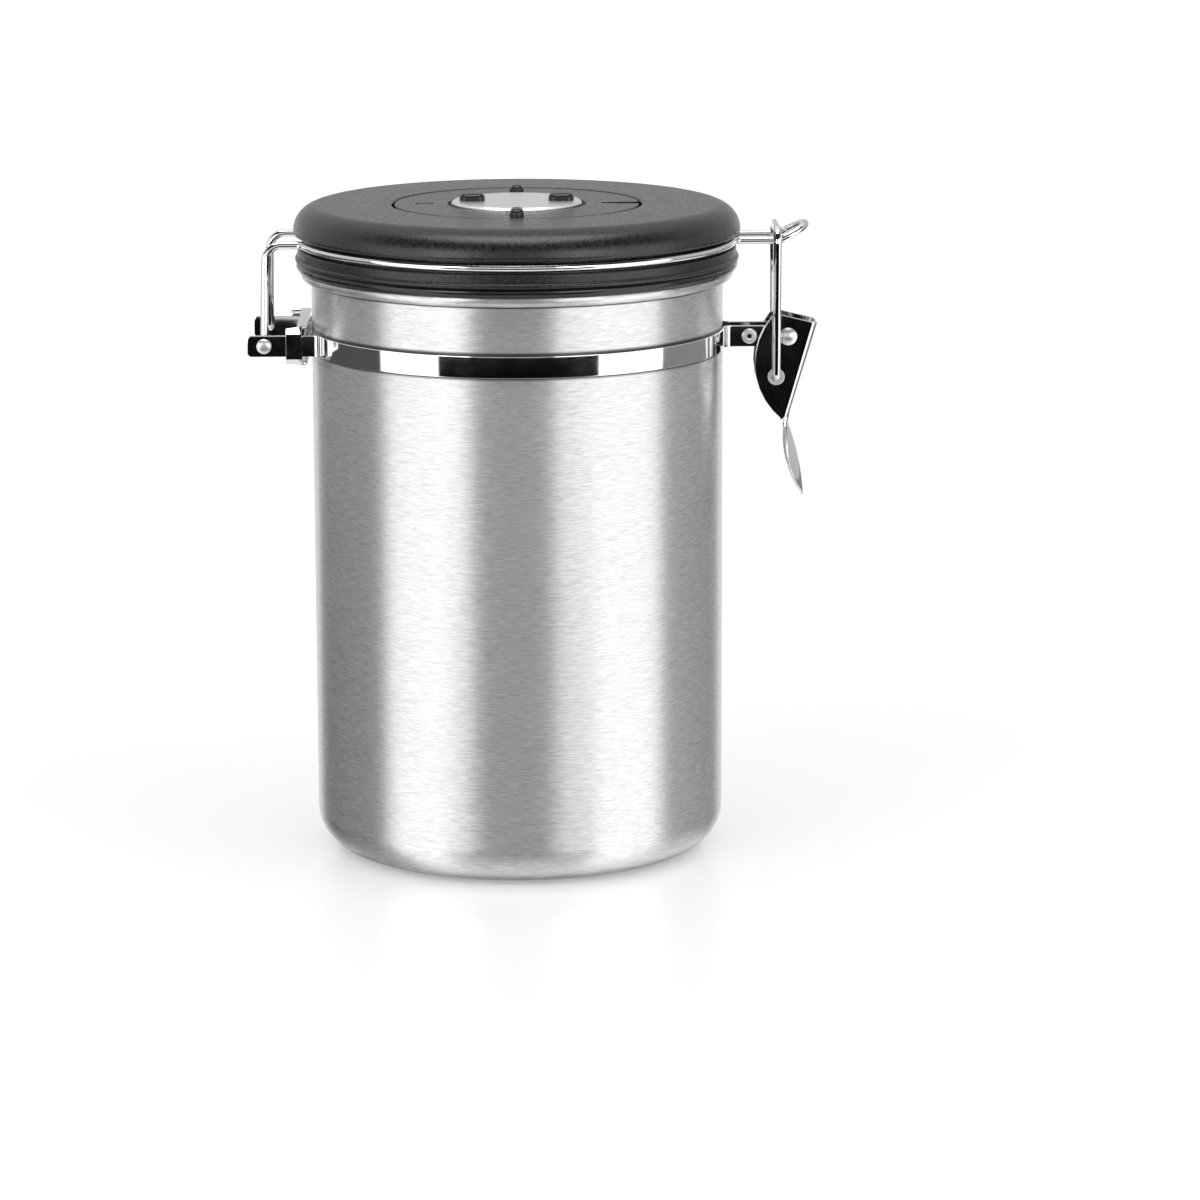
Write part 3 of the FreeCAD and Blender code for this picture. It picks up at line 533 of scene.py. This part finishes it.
tab = bmesh.new()
bmesh.ops.create_grid(tab, x_segments=tab_columns, y_segments=tab_rows, size=1.0)
shoulder_round = ((tab_half - neck_half) ** 2 + tab_widest ** 2) / (2.0 * (tab_half - neck_half))
cheek_drop = tab_length - tab_tip_drop - tab_widest
cheek_round = ((tab_half - tab_tip_half) ** 2 + cheek_drop ** 2) / (2.0 * (tab_half - tab_tip_half))
tip_round = (tab_tip_half ** 2 + tab_tip_drop ** 2) / (2.0 * tab_tip_drop)
lean = Matrix.Rotation(math.radians(-tab_lean), 3, "Y")
root = Vector((web_foot[0], 0.0, web_foot[1] - neck_drop))
web_slope = (web_top[0] - web_foot[0]) / (web_top[1] - web_foot[1])


def tab_half_at(drop):
    """Half width of the leaf-shaped tab at a distance below its root."""
    if drop < tab_widest:
        return tab_half - shoulder_round + math.sqrt(shoulder_round ** 2 - (tab_widest - drop) ** 2)
    if drop < tab_length - tab_tip_drop:
        return tab_half - cheek_round + math.sqrt(cheek_round ** 2 - (drop - tab_widest) ** 2)
    rise = tip_round - (tab_length - drop)
    return math.sqrt(max(0.0, tip_round ** 2 - rise ** 2))


for vert in tab.verts:
    row = round((1.0 - vert.co.y) / 2.0 * tab_rows)
    side = vert.co.x
    if row < neck_rows:
        climb = neck_half * (1.0 - row / (neck_rows - 1.0))
        vert.co = (web_foot[0] + web_slope * climb, side * neck_half, web_foot[1] + climb)
        continue
    share = (row - neck_rows) / (tab_rows - neck_rows)
    drop = tab_length * (1.0 - (1.0 - share) ** row_crowding)
    chord = math.sqrt(tab_bow ** 2 - tab_length ** 2 / 4.0)
    bow = math.sqrt(tab_bow ** 2 - (drop - tab_length / 2.0) ** 2) - chord
    across = side * tab_half_at(drop)
    dish = tab_dish_axis + math.sqrt((bow - tab_dish_axis) ** 2 - across ** 2)
    vert.co = lean @ Vector((dish, across, -drop)) + root
bmesh.ops.remove_doubles(tab, verts=tab.verts, dist=merge_gap)
bmesh.ops.recalc_face_normals(tab, faces=tab.faces)
tab.faces.ensure_lookup_table()
if max(tab.faces, key=lambda face: face.calc_area()).normal.x < 0.0:
    bmesh.ops.reverse_faces(tab, faces=tab.faces)
thicken(tab, lever_sheet, tab_edge)


def join_to(whole, part):
    """Adds a second mesh to a first one."""
    carrier = bpy.data.meshes.new("carrier")
    part.to_mesh(carrier)
    part.free()
    whole.from_mesh(carrier)
    bpy.data.meshes.remove(carrier)


join_to(channel, tab)
finish_piece("clasp_lever_folded", channel, chrome, "clasp_lever", ["lever"])

eyelets = bmesh.new()
for way in (1.0, -1.0):
    inner, seat, edge, face = (level * way for level in (
        eyelet_inner, eyelet_seat, eyelet_rim, eyelet_rim + eyelet_chamfer))
    draw_section(eyelets, [
        (eyelet_bore, inner), (eyelet_bush, inner), (eyelet_bush, seat), (eyelet_flange, seat),
        (eyelet_flange, edge), (eyelet_flange - eyelet_chamfer, face), (eyelet_bore + eyelet_chamfer, face),
        (eyelet_bore, edge), (eyelet_bore, inner)])
turn_on_lathe(eyelets, steps=32)
lay_across(eyelets, bail_x, bail_z)
finish_piece("bail_eyelet_pair", eyelets, satin_steel, "clasp_lever", ["bail_eyelets"])


# Draw bail: one bent steel wire. Its turned-in feet sit in the lever's eyelets, and its top bar draws
# the lid's tongue down.
wire_radius = 1.15
wire_sides = 24
bail_foot = 4.7
bail_foot_end = ((0.0, 1.0), (0.15, wire_radius))
bail_foot_bend = 1.6
bail_leg = 7.6
bail_top_half = 10.0
bail_top = 178.7
bail_bend = 3.8


def start_wire(bm, point, towards, rings):
    """Makes the end of a wire: a round face, then rings given as (distance from the end, radius)."""
    end = Vector(point)
    along = (Vector(towards) - end).normalized()
    turn = along.to_track_quat("Z", "X").to_matrix().to_4x4()
    last = rings[0][1]
    bmesh.ops.create_circle(bm, cap_ends=True, segments=wire_sides, radius=last,
                            matrix=Matrix.Translation(end) @ turn)
    line = bm.edges[:]
    tip = end.copy()
    for distance, radius in rings[1:]:
        line = push(bm, line, end + along * distance - tip)
        tip = end + along * distance
        verts = list({vert for edge in line for vert in edge.verts})
        bmesh.ops.scale(bm, vec=(radius / last, radius / last, radius / last), verts=verts,
                        space=Matrix.Translation(-tip))
        last = radius
    return line, tip


def run_to(bm, line, tip, point):
    """Runs the wire straight to a point."""
    return push(bm, line, Vector(point) - tip), Vector(point)


def round_corner(bm, line, tip, corner, after, radius):
    """Runs the wire to a corner and bends it towards the next point."""
    corner = Vector(corner)
    back = (tip - corner).normalized()
    onward = (Vector(after) - corner).normalized()
    angle = back.angle(onward)
    reach = radius / math.tan(angle / 2.0)
    begin = corner + back * reach
    axis = (-back).cross(onward).normalized()
    line = push(bm, line, begin - tip)
    line = swing(bm, line, begin + axis.cross(-back) * radius, axis, 180.0 - math.degrees(angle))
    return line, corner + onward * reach


def mirror_wire(bm):
    """Makes the far half of a wire whose near half ends in the middle plane."""
    bmesh.ops.mirror(bm, geom=bm.verts[:] + bm.edges[:] + bm.faces[:], matrix=Matrix.Identity(4),
                     merge_dist=merge_gap, axis="Y")
    bmesh.ops.remove_doubles(bm, verts=bm.verts, dist=2.0 * merge_gap)
    bmesh.ops.recalc_face_normals(bm, faces=bm.faces)


bail = bmesh.new()
foot_corner = (bail_x, -bail_leg, bail_z)
top_corner = (bail_x, -bail_top_half, bail_top)
line, tip = start_wire(bail, (bail_x, -bail_foot, bail_z), foot_corner, bail_foot_end)
line, tip = round_corner(bail, line, tip, foot_corner, top_corner, bail_foot_bend)
line, tip = round_corner(bail, line, tip, top_corner, (bail_x, 0.0, bail_top), bail_bend)
run_to(bail, line, tip, (bail_x, 0.0, bail_top))
mirror_wire(bail)
finish_piece("draw_bail_wire", bail, chrome, "bail", ["draw_bail"])


# Lid base: a moulded plastic plug that enters the mouth, with the gasket's seat and the collar above
# it, and a core inside the wire's groove that the cover snaps on to.
grain, entry, leave = effect_group(
    "moulded_grain", [("Vector", "NodeSocketVector"), ("Size", "NodeSocketFloat")],
    [("Grain", "NodeSocketFloat")])
speck = noise_in(grain, entry.outputs["Vector"], scale=1.0, detail=4.0, rough=0.7)
grain.links.new(entry.outputs["Size"], speck.inputs["Scale"])
grain.links.new(speck.outputs["Fac"], leave.inputs["Grain"])


def moulded_plastic(name, size, dark, light, smooth, rough, depth):
    """Plastic or rubber with the grain of its mould, given as grains per metre."""
    finish, tree, shader, place = new_finish(name)
    marks = use_group(tree, grain, place, Size=size)
    tint(tree, marks.outputs["Grain"], dark, light, shader.inputs["Base Color"])
    spread(tree, marks.outputs["Grain"], noise_low, noise_high, smooth, rough, shader.inputs["Roughness"])
    emboss(tree, marks.outputs["Grain"], shader, strength=0.8, depth=depth)
    return finish


lid_plastic = moulded_plastic("grained_dark_plastic", size=1000.0, dark=(0.003, 0.003, 0.0035),
                              light=(0.019, 0.019, 0.020), smooth=0.22, rough=0.38, depth=0.00009)
collar_radius = 62.325
collar_bottom = 169.7
collar_top = 173.7
collar_edge = 0.4
lip_bulge = 0.7
lip_height = 1.6
lip_round = (lip_bulge ** 2 + (lip_height / 2.0) ** 2) / (2.0 * lip_bulge)
lip_turn = 2.0 * math.degrees(math.asin(lip_height / 2.0 / lip_round))
plug_radius = 52.0
plug_bottom = 161.5
plug_corner = 1.2
plug_wall = 2.0
seat_radius = 56.2
seat_bottom = 168.4
core_radius = 60.225
core_top = 178.9
valve_radius = 13.0
plug = bmesh.new()
draw_section(plug, [
    (valve_radius, plug_bottom), (plug_radius - plug_corner, plug_bottom),
    (plug_radius - plug_corner, plug_bottom + plug_corner, 90.0),
    (seat_radius, seat_bottom), (seat_radius, collar_bottom), (collar_radius, collar_bottom),
    (collar_radius + lip_bulge - lip_round, collar_bottom + lip_height / 2.0, lip_turn),
    (collar_radius, collar_top - collar_edge), (collar_radius - collar_edge, collar_top - collar_edge, 90.0),
    (core_radius, collar_top), (core_radius, core_top), (core_radius - plug_wall, core_top),
    (core_radius - plug_wall, collar_bottom + plug_wall),
    (seat_radius - plug_wall, collar_bottom + plug_wall), (seat_radius - plug_wall, seat_bottom),
    (plug_radius - plug_wall, plug_bottom + plug_wall), (valve_radius, plug_bottom + plug_wall),
    (valve_radius, plug_bottom)])
turn_on_lathe(plug, steps=200)
finish_piece("lid_plug_collar", plug, lid_plastic, "lid", ["lid_base"])


# Gasket: a black rubber ring moulded to the seat, with a thin lip that hangs over the bead.
# It lies between the collar and the steel and bulges a little.
rubber = moulded_plastic("black_rubber", size=900.0, dark=(0.004, 0.004, 0.004),
                         light=(0.008, 0.008, 0.008), smooth=0.14, rough=0.24, depth=0.000004)
gasket_inside = 56.25
gasket_side = 62.275
gasket_bulge = 1.0
gasket_bulge_level = 168.65
gasket_bulge_turn = -95.0
gasket_lip_inside = 61.525
gasket_lip_end = 0.3
gasket_lip_level = 167.4
gasket_arch = (60.6, 168.1)
gasket_shelf = 59.55
gasket = bmesh.new()
draw_section(gasket, [
    (gasket_inside, collar_bottom), (gasket_side, collar_bottom),
    (gasket_side - gasket_bulge, gasket_bulge_level, gasket_bulge_turn),
    (gasket_lip_inside + 2.0 * gasket_lip_end, gasket_lip_level),
    (gasket_lip_inside + gasket_lip_end, gasket_lip_level, -180.0), gasket_arch,
    (gasket_shelf, seat_bottom), (gasket_inside, seat_bottom), (gasket_inside, collar_bottom)])
turn_on_lathe(gasket, steps=200)
finish_piece("lid_gasket_ring", gasket, rubber, "lid", ["lid_gasket"])


# Lid wire: one bent steel wire. Its ends turn in the tangs, its legs rise to a ring that lies in the
# lid's groove, and it leaves the ring as a tongue with a lifted tip for the bail.
hinge_x = -71.3
foot_y = 20.0
foot_corner_y = 16.6
foot_bend = 1.5
foot_head = ((0.0, 0.5), (0.08, 1.1), (0.24, 1.6), (0.45, 1.95), (0.65, 2.1), (0.9, 2.1), (0.9, wire_radius))
head_inside = 19.05 * MILLIMETRE
head_highest = (strap_level + 3.0) * MILLIMETRE
leg_lean = 0.5
leg_top_y = 13.5
leg_bend = 4.5
wire_level = 175.5
ring_radius = 61.675
ring_bend = 2.4
ring_step = 2.0
tongue_half = 6.7
knee_x = 74.7
knee_bend = 4.0
tongue_lift = math.radians(28.0)
tongue_straight = 0.4
hoop = bmesh.new()
foot_corner = (hinge_x, -foot_corner_y, strap_level)
leg_top = Vector((hinge_x + leg_lean, -leg_top_y, wire_level))
ring_out = ring_radius + ring_bend
run_y = leg_top_y + ring_bend
tongue_y = tongue_half + ring_bend
leave_run = Vector((-math.sqrt(ring_out ** 2 - run_y ** 2), -leg_top_y, wire_level))
join_tongue = Vector((math.sqrt(ring_out ** 2 - tongue_y ** 2), -tongue_half, wire_level))
run_turn = math.degrees(math.atan2(run_y, -leave_run.x))
tongue_turn = math.degrees(math.atan2(tongue_y, join_tongue.x))
inwards = Vector((0.0, ring_bend, 0.0))
line, tip = start_wire(hoop, (hinge_x, -foot_y, strap_level), foot_corner, foot_head)
line, tip = round_corner(hoop, line, tip, foot_corner, leg_top, foot_bend)
line, tip = round_corner(hoop, line, tip, leg_top, leave_run, leg_bend)
line, tip = run_to(hoop, line, tip, leave_run)
line = swing(hoop, line, leave_run - inwards, UP, run_turn - 90.0)
ring_centre = Vector((0.0, 0.0, wire_level))
line = swing(hoop, line, ring_centre, UP, 180.0 - run_turn - tongue_turn, finest=ring_step)
line = swing(hoop, line, join_tongue - inwards, UP, tongue_turn - 90.0)
lifted = Vector((math.cos(tongue_lift), 0.0, math.sin(tongue_lift)))
knee = Vector((knee_x, -tongue_half, wire_level))
line, tip = round_corner(hoop, line, join_tongue, knee, knee + lifted, knee_bend)
line, tip = run_to(hoop, line, tip, tip + lifted * tongue_straight)
swing(hoop, line, tip + Vector((0.0, tongue_half, 0.0)), lifted.cross(Vector((0.0, 1.0, 0.0))), 90.0)
mirror_wire(hoop)
wire_piece = finish_piece("lid_hoop_wire", hoop, chrome, "lid", ["lid_wire"])
wire_piece.data.materials.append(satin_steel)
for face in wire_piece.data.polygons:
    if face.center.z < head_highest and abs(face.center.y) > head_inside:
        face.material_index = 1


# Lid cover: a moulded cap of dark grained plastic with a rounded shoulder and a round recess for the
# dials. Its skirt snaps over the core of the base.
cover_radius = 63.475
cover_bottom = 177.3
cover_brow = 178.4
cover_shoulder = 7.2
cover_top = 185.6
cover_hem = 1.0
cover_sheet = 2.2
core_fit = 0.05
core_sheet = 1.95
recess_radius = 35.45
recess_edge = 0.8
recess_floor = 182.6
floor_sheet = 1.8
spindle_hole = 4.08
cover = bmesh.new()
draw_section(cover, [
    (spindle_hole, recess_floor), (recess_radius, recess_floor), (recess_radius, cover_top - recess_edge),
    (recess_radius + recess_edge, cover_top - recess_edge, -90.0), (cover_radius - cover_shoulder, cover_top),
    (cover_radius - cover_shoulder, cover_brow, -90.0), (cover_radius, cover_bottom + cover_hem),
    (cover_radius - cover_hem, cover_bottom + cover_hem, -90.0), (core_radius + core_fit, cover_bottom),
    (core_radius + core_fit, core_top), (core_radius - core_sheet, core_top),
    (core_radius - core_sheet, cover_top - cover_sheet),
    (recess_radius + cover_sheet, cover_top - cover_sheet),
    (recess_radius + cover_sheet, recess_floor - floor_sheet), (spindle_hole, recess_floor - floor_sheet),
    (spindle_hole, recess_floor)])
turn_on_lathe(cover, steps=200)
finish_piece("lid_cover_cap", cover, lid_plastic, "lid", ["lid_cover"])


# Outer dial: a flush ring of the same plastic that turns in the cover's recess, with a dash, a wedge
# mark and a nail notch sunk in its face, and two black finger grips pressed into it.
dial_radius = 34.7
well_radius = 19.6
dial_bottom = 182.7
dial_top = 185.5
dial_edge = 0.4
well_edge = 0.25
flange_top = 183.9
flange_hole = 12.3
mark_depth = 1.0
cut_above = 1.0
dash_length = 5.4
dash_width = 2.8
dash_x = -26.1
wedge_start = 24.0
wedge_length = 11.7
wedge_narrow = 1.0
wedge_wide = 2.2
notch_radius = 2.0
notch_height = 3.2
grip_length = 7.2
grip_width = 4.0
grip_height = 2.7
grip_round = 1.4
grip_seat = 0.6
ring_grip_at = 27.15


def cut_away(piece, bm):
    """Cuts a tool shape out of a finished piece."""
    bmesh.ops.scale(bm, vec=(MILLIMETRE, MILLIMETRE, MILLIMETRE), verts=bm.verts)
    mesh = bpy.data.meshes.new("cutter")
    bm.to_mesh(mesh)
    bm.free()
    cutter = bpy.data.objects.new("cutter", mesh)
    bpy.context.scene.collection.objects.link(cutter)
    cut = piece.modifiers.new("cut", "BOOLEAN")
    cut.operation = "DIFFERENCE"
    cut.solver = "EXACT"
    cut.object = cutter
    bpy.context.view_layer.update()
    shaped = bpy.data.meshes.new_from_object(piece.evaluated_get(bpy.context.evaluated_depsgraph_get()))
    piece.modifiers.clear()
    piece.data = shaped
    shaped.set_sharp_from_angle(angle=crease_angle)
    piece.modifiers.new("even_shading", "WEIGHTED_NORMAL").keep_sharp = True
    bpy.data.objects.remove(cutter)
    bpy.data.meshes.remove(mesh)


def bar_tool(length, width, height, top_round):
    """A bar with round ends, standing on its middle; the top edge may be rounded."""
    bm = bmesh.new()
    bmesh.ops.create_cube(bm, size=1.0)
    bmesh.ops.scale(bm, vec=(length, width, height), verts=bm.verts)
    bmesh.ops.translate(bm, vec=(0.0, 0.0, height / 2.0), verts=bm.verts)
    upright = [edge for edge in bm.edges if abs(edge.verts[0].co.z - edge.verts[1].co.z) > height / 2.0]
    bmesh.ops.bevel(bm, geom=upright, offset=width / 2.0 - same_place, segments=10, profile=0.5,
                    affect="EDGES", material=-1)
    if top_round:
        rim = [edge for edge in bm.edges if all(vert.co.z > height - merge_gap for vert in edge.verts)]
        bmesh.ops.bevel(bm, geom=rim, offset=top_round, segments=5, profile=0.5, affect="EDGES", material=-1)
    return bm


ring = bmesh.new()
draw_section(ring, [
    (flange_hole, dial_bottom), (dial_radius, dial_bottom), (dial_radius, dial_top - dial_edge),
    (dial_radius - dial_edge, dial_top - dial_edge, 90.0), (well_radius + well_edge, dial_top),
    (well_radius + well_edge, dial_top - well_edge, 90.0), (well_radius, flange_top),
    (flange_hole, flange_top), (flange_hole, dial_bottom)])
turn_on_lathe(ring, steps=200)
dial = finish_piece("outer_dial_ring", ring, lid_plastic, "outer_dial", ["dial_ring"])
dash = bar_tool(dash_length, dash_width, mark_depth + cut_above, 0.0)
bmesh.ops.translate(dash, vec=(dash_x, 0.0, dial_top - mark_depth), verts=dash.verts)
cut_away(dial, dash)
wedge = bmesh.new()
bmesh.ops.create_cube(wedge, size=1.0)
bmesh.ops.scale(wedge, vec=(wedge_length, 1.0, mark_depth + cut_above), verts=wedge.verts)
for vert in wedge.verts:
    vert.co.y = math.copysign(wedge_wide if vert.co.x > 0.0 else wedge_narrow, vert.co.y)
wedge_middle = (wedge_start + wedge_length / 2.0, 0.0, dial_top + (cut_above - mark_depth) / 2.0)
bmesh.ops.translate(wedge, vec=wedge_middle, verts=wedge.verts)
cut_away(dial, wedge)
notch = bmesh.new()
bmesh.ops.create_cone(notch, cap_ends=True, segments=32, radius1=notch_radius, radius2=notch_radius,
                      depth=notch_height)
bmesh.ops.translate(notch, vec=(dial_radius, 0.0, flange_top + notch_height / 2.0), verts=notch.verts)
cut_away(dial, notch)

fine_grain = 0.00002
grip_plastic = moulded_plastic("black_grip_plastic", size=1800.0, dark=(0.006, 0.006, 0.006),
                               light=(0.011, 0.011, 0.011), smooth=0.24, rough=0.36, depth=fine_grain)


def grip_pair(name, at, surface, along_y, body, nodes):
    """Two finger grips opposite each other, seated in the face of a dial."""
    pair = bmesh.new()
    for way in (-1.0, 1.0):
        grip = bar_tool(grip_length, grip_width, grip_height, grip_round)
        bmesh.ops.translate(grip, vec=(way * at, 0.0, surface - grip_seat), verts=grip.verts)
        join_to(pair, grip)
    if along_y:
        bmesh.ops.rotate(pair, cent=(0.0, 0.0, 0.0), matrix=Matrix.Rotation(QUARTER_TURN, 3, "Z"),
                         verts=pair.verts)
    finish_piece(name, pair, grip_plastic, body, nodes)


grip_pair("ring_finger_grips", ring_grip_at, dial_top, True, "outer_dial", ["ring_grips"])


# Inner dial: a turned disc of brushed metal, a little proud of the ring, with two black finger grips.
# Its spindle goes down through the cover.
disc_radius = 18.5
disc_bottom = 184.2
disc_top = 186.3
disc_foot_edge = 0.2
disc_edge = 0.55
disc_grip_at = 12.6
steel_straight = brushed_metal("brushed_steel_straight", strokes=(60.0, 5200.0, 60.0),
                               dark=(0.72, 0.72, 0.715), light=(0.82, 0.82, 0.81),
                               smooth=0.3, rough=0.42, depth=stroke_depth)
disc = bmesh.new()
draw_section(disc, [
    (0.0, disc_bottom), (disc_radius - disc_foot_edge, disc_bottom),
    (disc_radius, disc_bottom + disc_foot_edge), (disc_radius, disc_top - disc_edge),
    (disc_radius - disc_edge, disc_top), (0.0, disc_top)])
turn_on_lathe(disc, steps=160)
finish_piece("inner_dial_disc", disc, steel_straight, "inner_dial", ["dial_disc"])
grip_pair("disc_finger_grips", disc_grip_at, disc_top, False, "inner_dial", ["disc_grips"])


# Working parts inside the lid: the spindle and its spring clip, and the one-way valve with its seat,
# silicone flap, felt filter and cap. Their solids are kept as they are and get their real finishes.
inner_plastic = moulded_plastic("spindle_plastic", size=1500.0, dark=(0.02, 0.02, 0.021),
                                light=(0.03, 0.03, 0.031), smooth=0.34, rough=0.46, depth=fine_grain)
spring_steel = polished_metal("spring_steel", dark=(0.42, 0.42, 0.43), light=(0.52, 0.52, 0.53),
                              smooth=0.18, rough=0.3)
valve_plastic = moulded_plastic("valve_plastic", size=1500.0, dark=(0.62, 0.62, 0.60),
                                light=(0.72, 0.72, 0.70), smooth=0.34, rough=0.46, depth=fine_grain)
silicone = moulded_plastic("valve_silicone", size=700.0, dark=(0.55, 0.54, 0.52),
                           light=(0.66, 0.65, 0.63), smooth=0.42, rough=0.56, depth=fine_grain)
felt = moulded_plastic("valve_felt", size=5200.0, dark=(0.5, 0.47, 0.42), light=(0.66, 0.63, 0.57),
                       smooth=0.85, rough=1.0, depth=0.0002)
for node, finish in (("dial_spindle", inner_plastic), ("spindle_clip", spring_steel),
                     ("valve_seat", valve_plastic), ("valve_flap", silicone), ("valve_filter", felt),
                     ("valve_cap", valve_plastic)):
    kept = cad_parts[node]
    kept.data.materials.clear()
    kept.data.materials.append(finish)


# Studio: a pale satin floor, a white room, soft lamps, and light and dark panels that only the metal
# and the gloss see, with a dark card under the base among them.
WHITE = (1.0, 1.0, 1.0, 1.0)
BLACK = (0.0, 0.0, 0.0, 1.0)
floor_reach = 6.0
floor_colour = (0.95, 0.95, 0.95, 1.0)
floor_gloss = 0.16
floor_glow = 0.19
card_radius = (body_radius - 4.0) * MILLIMETRE
card_level = -0.2 * MILLIMETRE
card_glow = 0.34
dome_reach = 3.0


def stage_piece(name, bm):
    """Puts a piece of the studio in place and returns it with its material's node tree and shader."""
    mesh = bpy.data.meshes.new(name)
    bm.to_mesh(mesh)
    bm.free()
    thing = bpy.data.objects.new(name, mesh)
    bpy.context.scene.collection.objects.link(thing)
    surface, tree, shader, _ = new_finish(name)
    shader.inputs["Roughness"].default_value = floor_gloss
    shader.inputs["Emission Color"].default_value = WHITE
    mesh.materials.append(surface)
    return thing, tree, shader


def gloss_card(name, bm, glow):
    """A glowing card that only reflections show."""
    card, _, shader = stage_piece(name, bm)
    shader.inputs["Base Color"].default_value = BLACK
    shader.inputs["Specular IOR Level"].default_value = 0.0
    shader.inputs["Emission Strength"].default_value = glow
    card.visible_camera = False
    card.visible_diffuse = False
    card.visible_transmission = False
    card.visible_shadow = False


ground = bmesh.new()
bmesh.ops.create_circle(ground, cap_ends=True, segments=96, radius=floor_reach)
floor, floor_tree, floor_shader = stage_piece("studio_floor", ground)
floor.visible_glossy = False
floor_shader.inputs["Base Color"].default_value = floor_colour
camera_sees = floor_tree.nodes.new("ShaderNodeLightPath").outputs["Is Camera Ray"]
spread(floor_tree, camera_sees, 0.0, 1.0, 0.0, floor_glow, floor_shader.inputs["Emission Strength"])

contact_shade = bmesh.new()
bmesh.ops.create_circle(contact_shade, cap_ends=True, segments=96, radius=card_radius,
                        matrix=Matrix.Translation((0.0, 0.0, card_level)))
gloss_card("contact_shade", contact_shade, card_glow)


def panel(name, from_deg, to_deg, low_deg, high_deg, glow):
    """A patch of a wide dome, in degrees from the front, positive to the clasp side, and degrees up."""
    bm = bmesh.new()
    turn = Matrix.Rotation(math.radians(from_deg), 3, "Z")
    rise = turn @ Vector((-1.0, 0.0, 0.0))
    low = Matrix.Rotation(math.radians(low_deg), 3, rise) @ turn @ Vector((0.0, -dome_reach, 0.0))
    bmesh.ops.spin(bm, geom=[bm.verts.new(low)], cent=(0.0, 0.0, 0.0), axis=rise,
                   angle=math.radians(high_deg - low_deg), steps=12)
    swing(bm, bm.edges[:], Vector(), UP, to_deg - from_deg, finest=4.0)
    gloss_card(name, bm, glow)


panel("front_flag", -43.5, 44.5, -38.0, -2.5, 0.004)
panel("front_screen", -26.0, 20.0, -2.5, 24.0, 0.85)
panel("left_box", -80.0, -43.5, -60.0, 24.0, 1.75)
panel("left_box_top", -43.5, -26.0, -2.5, 24.0, 4.4)
panel("right_box", 44.5, 86.0, -60.0, 24.0, 1.75)
panel("right_box_top", 20.0, 44.5, -2.5, 24.0, 3.7)
panel("left_wall", -150.0, -80.0, -27.0, -2.5, 0.09)
panel("left_wall_foot", -150.0, -80.0, -60.0, -27.0, 0.4)
panel("left_wall_top", -150.0, -80.0, -2.5, 45.0, 0.75)
panel("right_wall", 86.0, 150.0, -25.0, -2.5, 0.28)
panel("right_wall_top", 86.0, 150.0, -2.5, 45.0, 0.6)
panel("front_canopy", -100.0, 100.0, 24.0, 62.0, 0.02)
panel("back_screen", 150.0, 210.0, 7.0, 45.0, 0.62)
panel("top_box", -100.0, 100.0, 62.0, 89.0, 4.8)

room_light = 0.9
room_seen = 1.0
world = bpy.data.worlds.new("studio_room")
bpy.context.scene.world = world
world.use_nodes = True
room = world.node_tree.nodes["Background"]
room.inputs["Color"].default_value = WHITE
path = world.node_tree.nodes.new("ShaderNodeLightPath").outputs
seen = math_node(world.node_tree, "ADD", path["Is Camera Ray"], path["Is Glossy Ray"])
seen_too = math_node(world.node_tree, "ADD", seen.outputs["Value"], path["Is Transmission Ray"])
seen_too.use_clamp = True
spread(world.node_tree, seen_too.outputs["Value"], 0.0, 1.0, room_light, room_seen, room.inputs["Strength"])

lamp_size = 0.8
lamp_aim = Vector((0.0, 0.0, 0.1))


def soft_lamp(name, place, power):
    """A square lamp aimed at the part and hidden from reflections."""
    lamp = bpy.data.lights.new(name, "AREA")
    lamp.shape = "SQUARE"
    lamp.size = lamp_size
    lamp.energy = power
    holder = bpy.data.objects.new(name, lamp)
    holder.location = place
    holder.rotation_euler = (lamp_aim - Vector(place)).to_track_quat("-Z", "Y").to_euler()
    holder.visible_glossy = False
    bpy.context.scene.collection.objects.link(holder)


soft_lamp("key_lamp", place=(-0.9, -0.9, 1.3), power=3.0)
soft_lamp("fill_lamp", place=(1.1, -0.6, 1.1), power=2.0)

camera = bpy.data.cameras.new("photo_camera")
camera.sensor_width = 36.0
camera.lens = 143.31
camera_pitch = 0.2083
camera_yaw = -0.0173
camera_roll = 0.0025
stand = bpy.data.objects.new("photo_camera", camera)
stand.location = (0.0, -1.34922, 0.35549)
stand.rotation_euler = (Matrix.Rotation(camera_yaw, 3, "Z")
                        @ Matrix.Rotation(math.pi / 2.0 - camera_pitch, 3, "X")
                        @ Matrix.Rotation(-camera_roll, 3, "Z")).to_euler()
bpy.context.scene.collection.objects.link(stand)
bpy.context.scene.camera = stand
bpy.context.scene.view_settings.view_transform = "Standard"
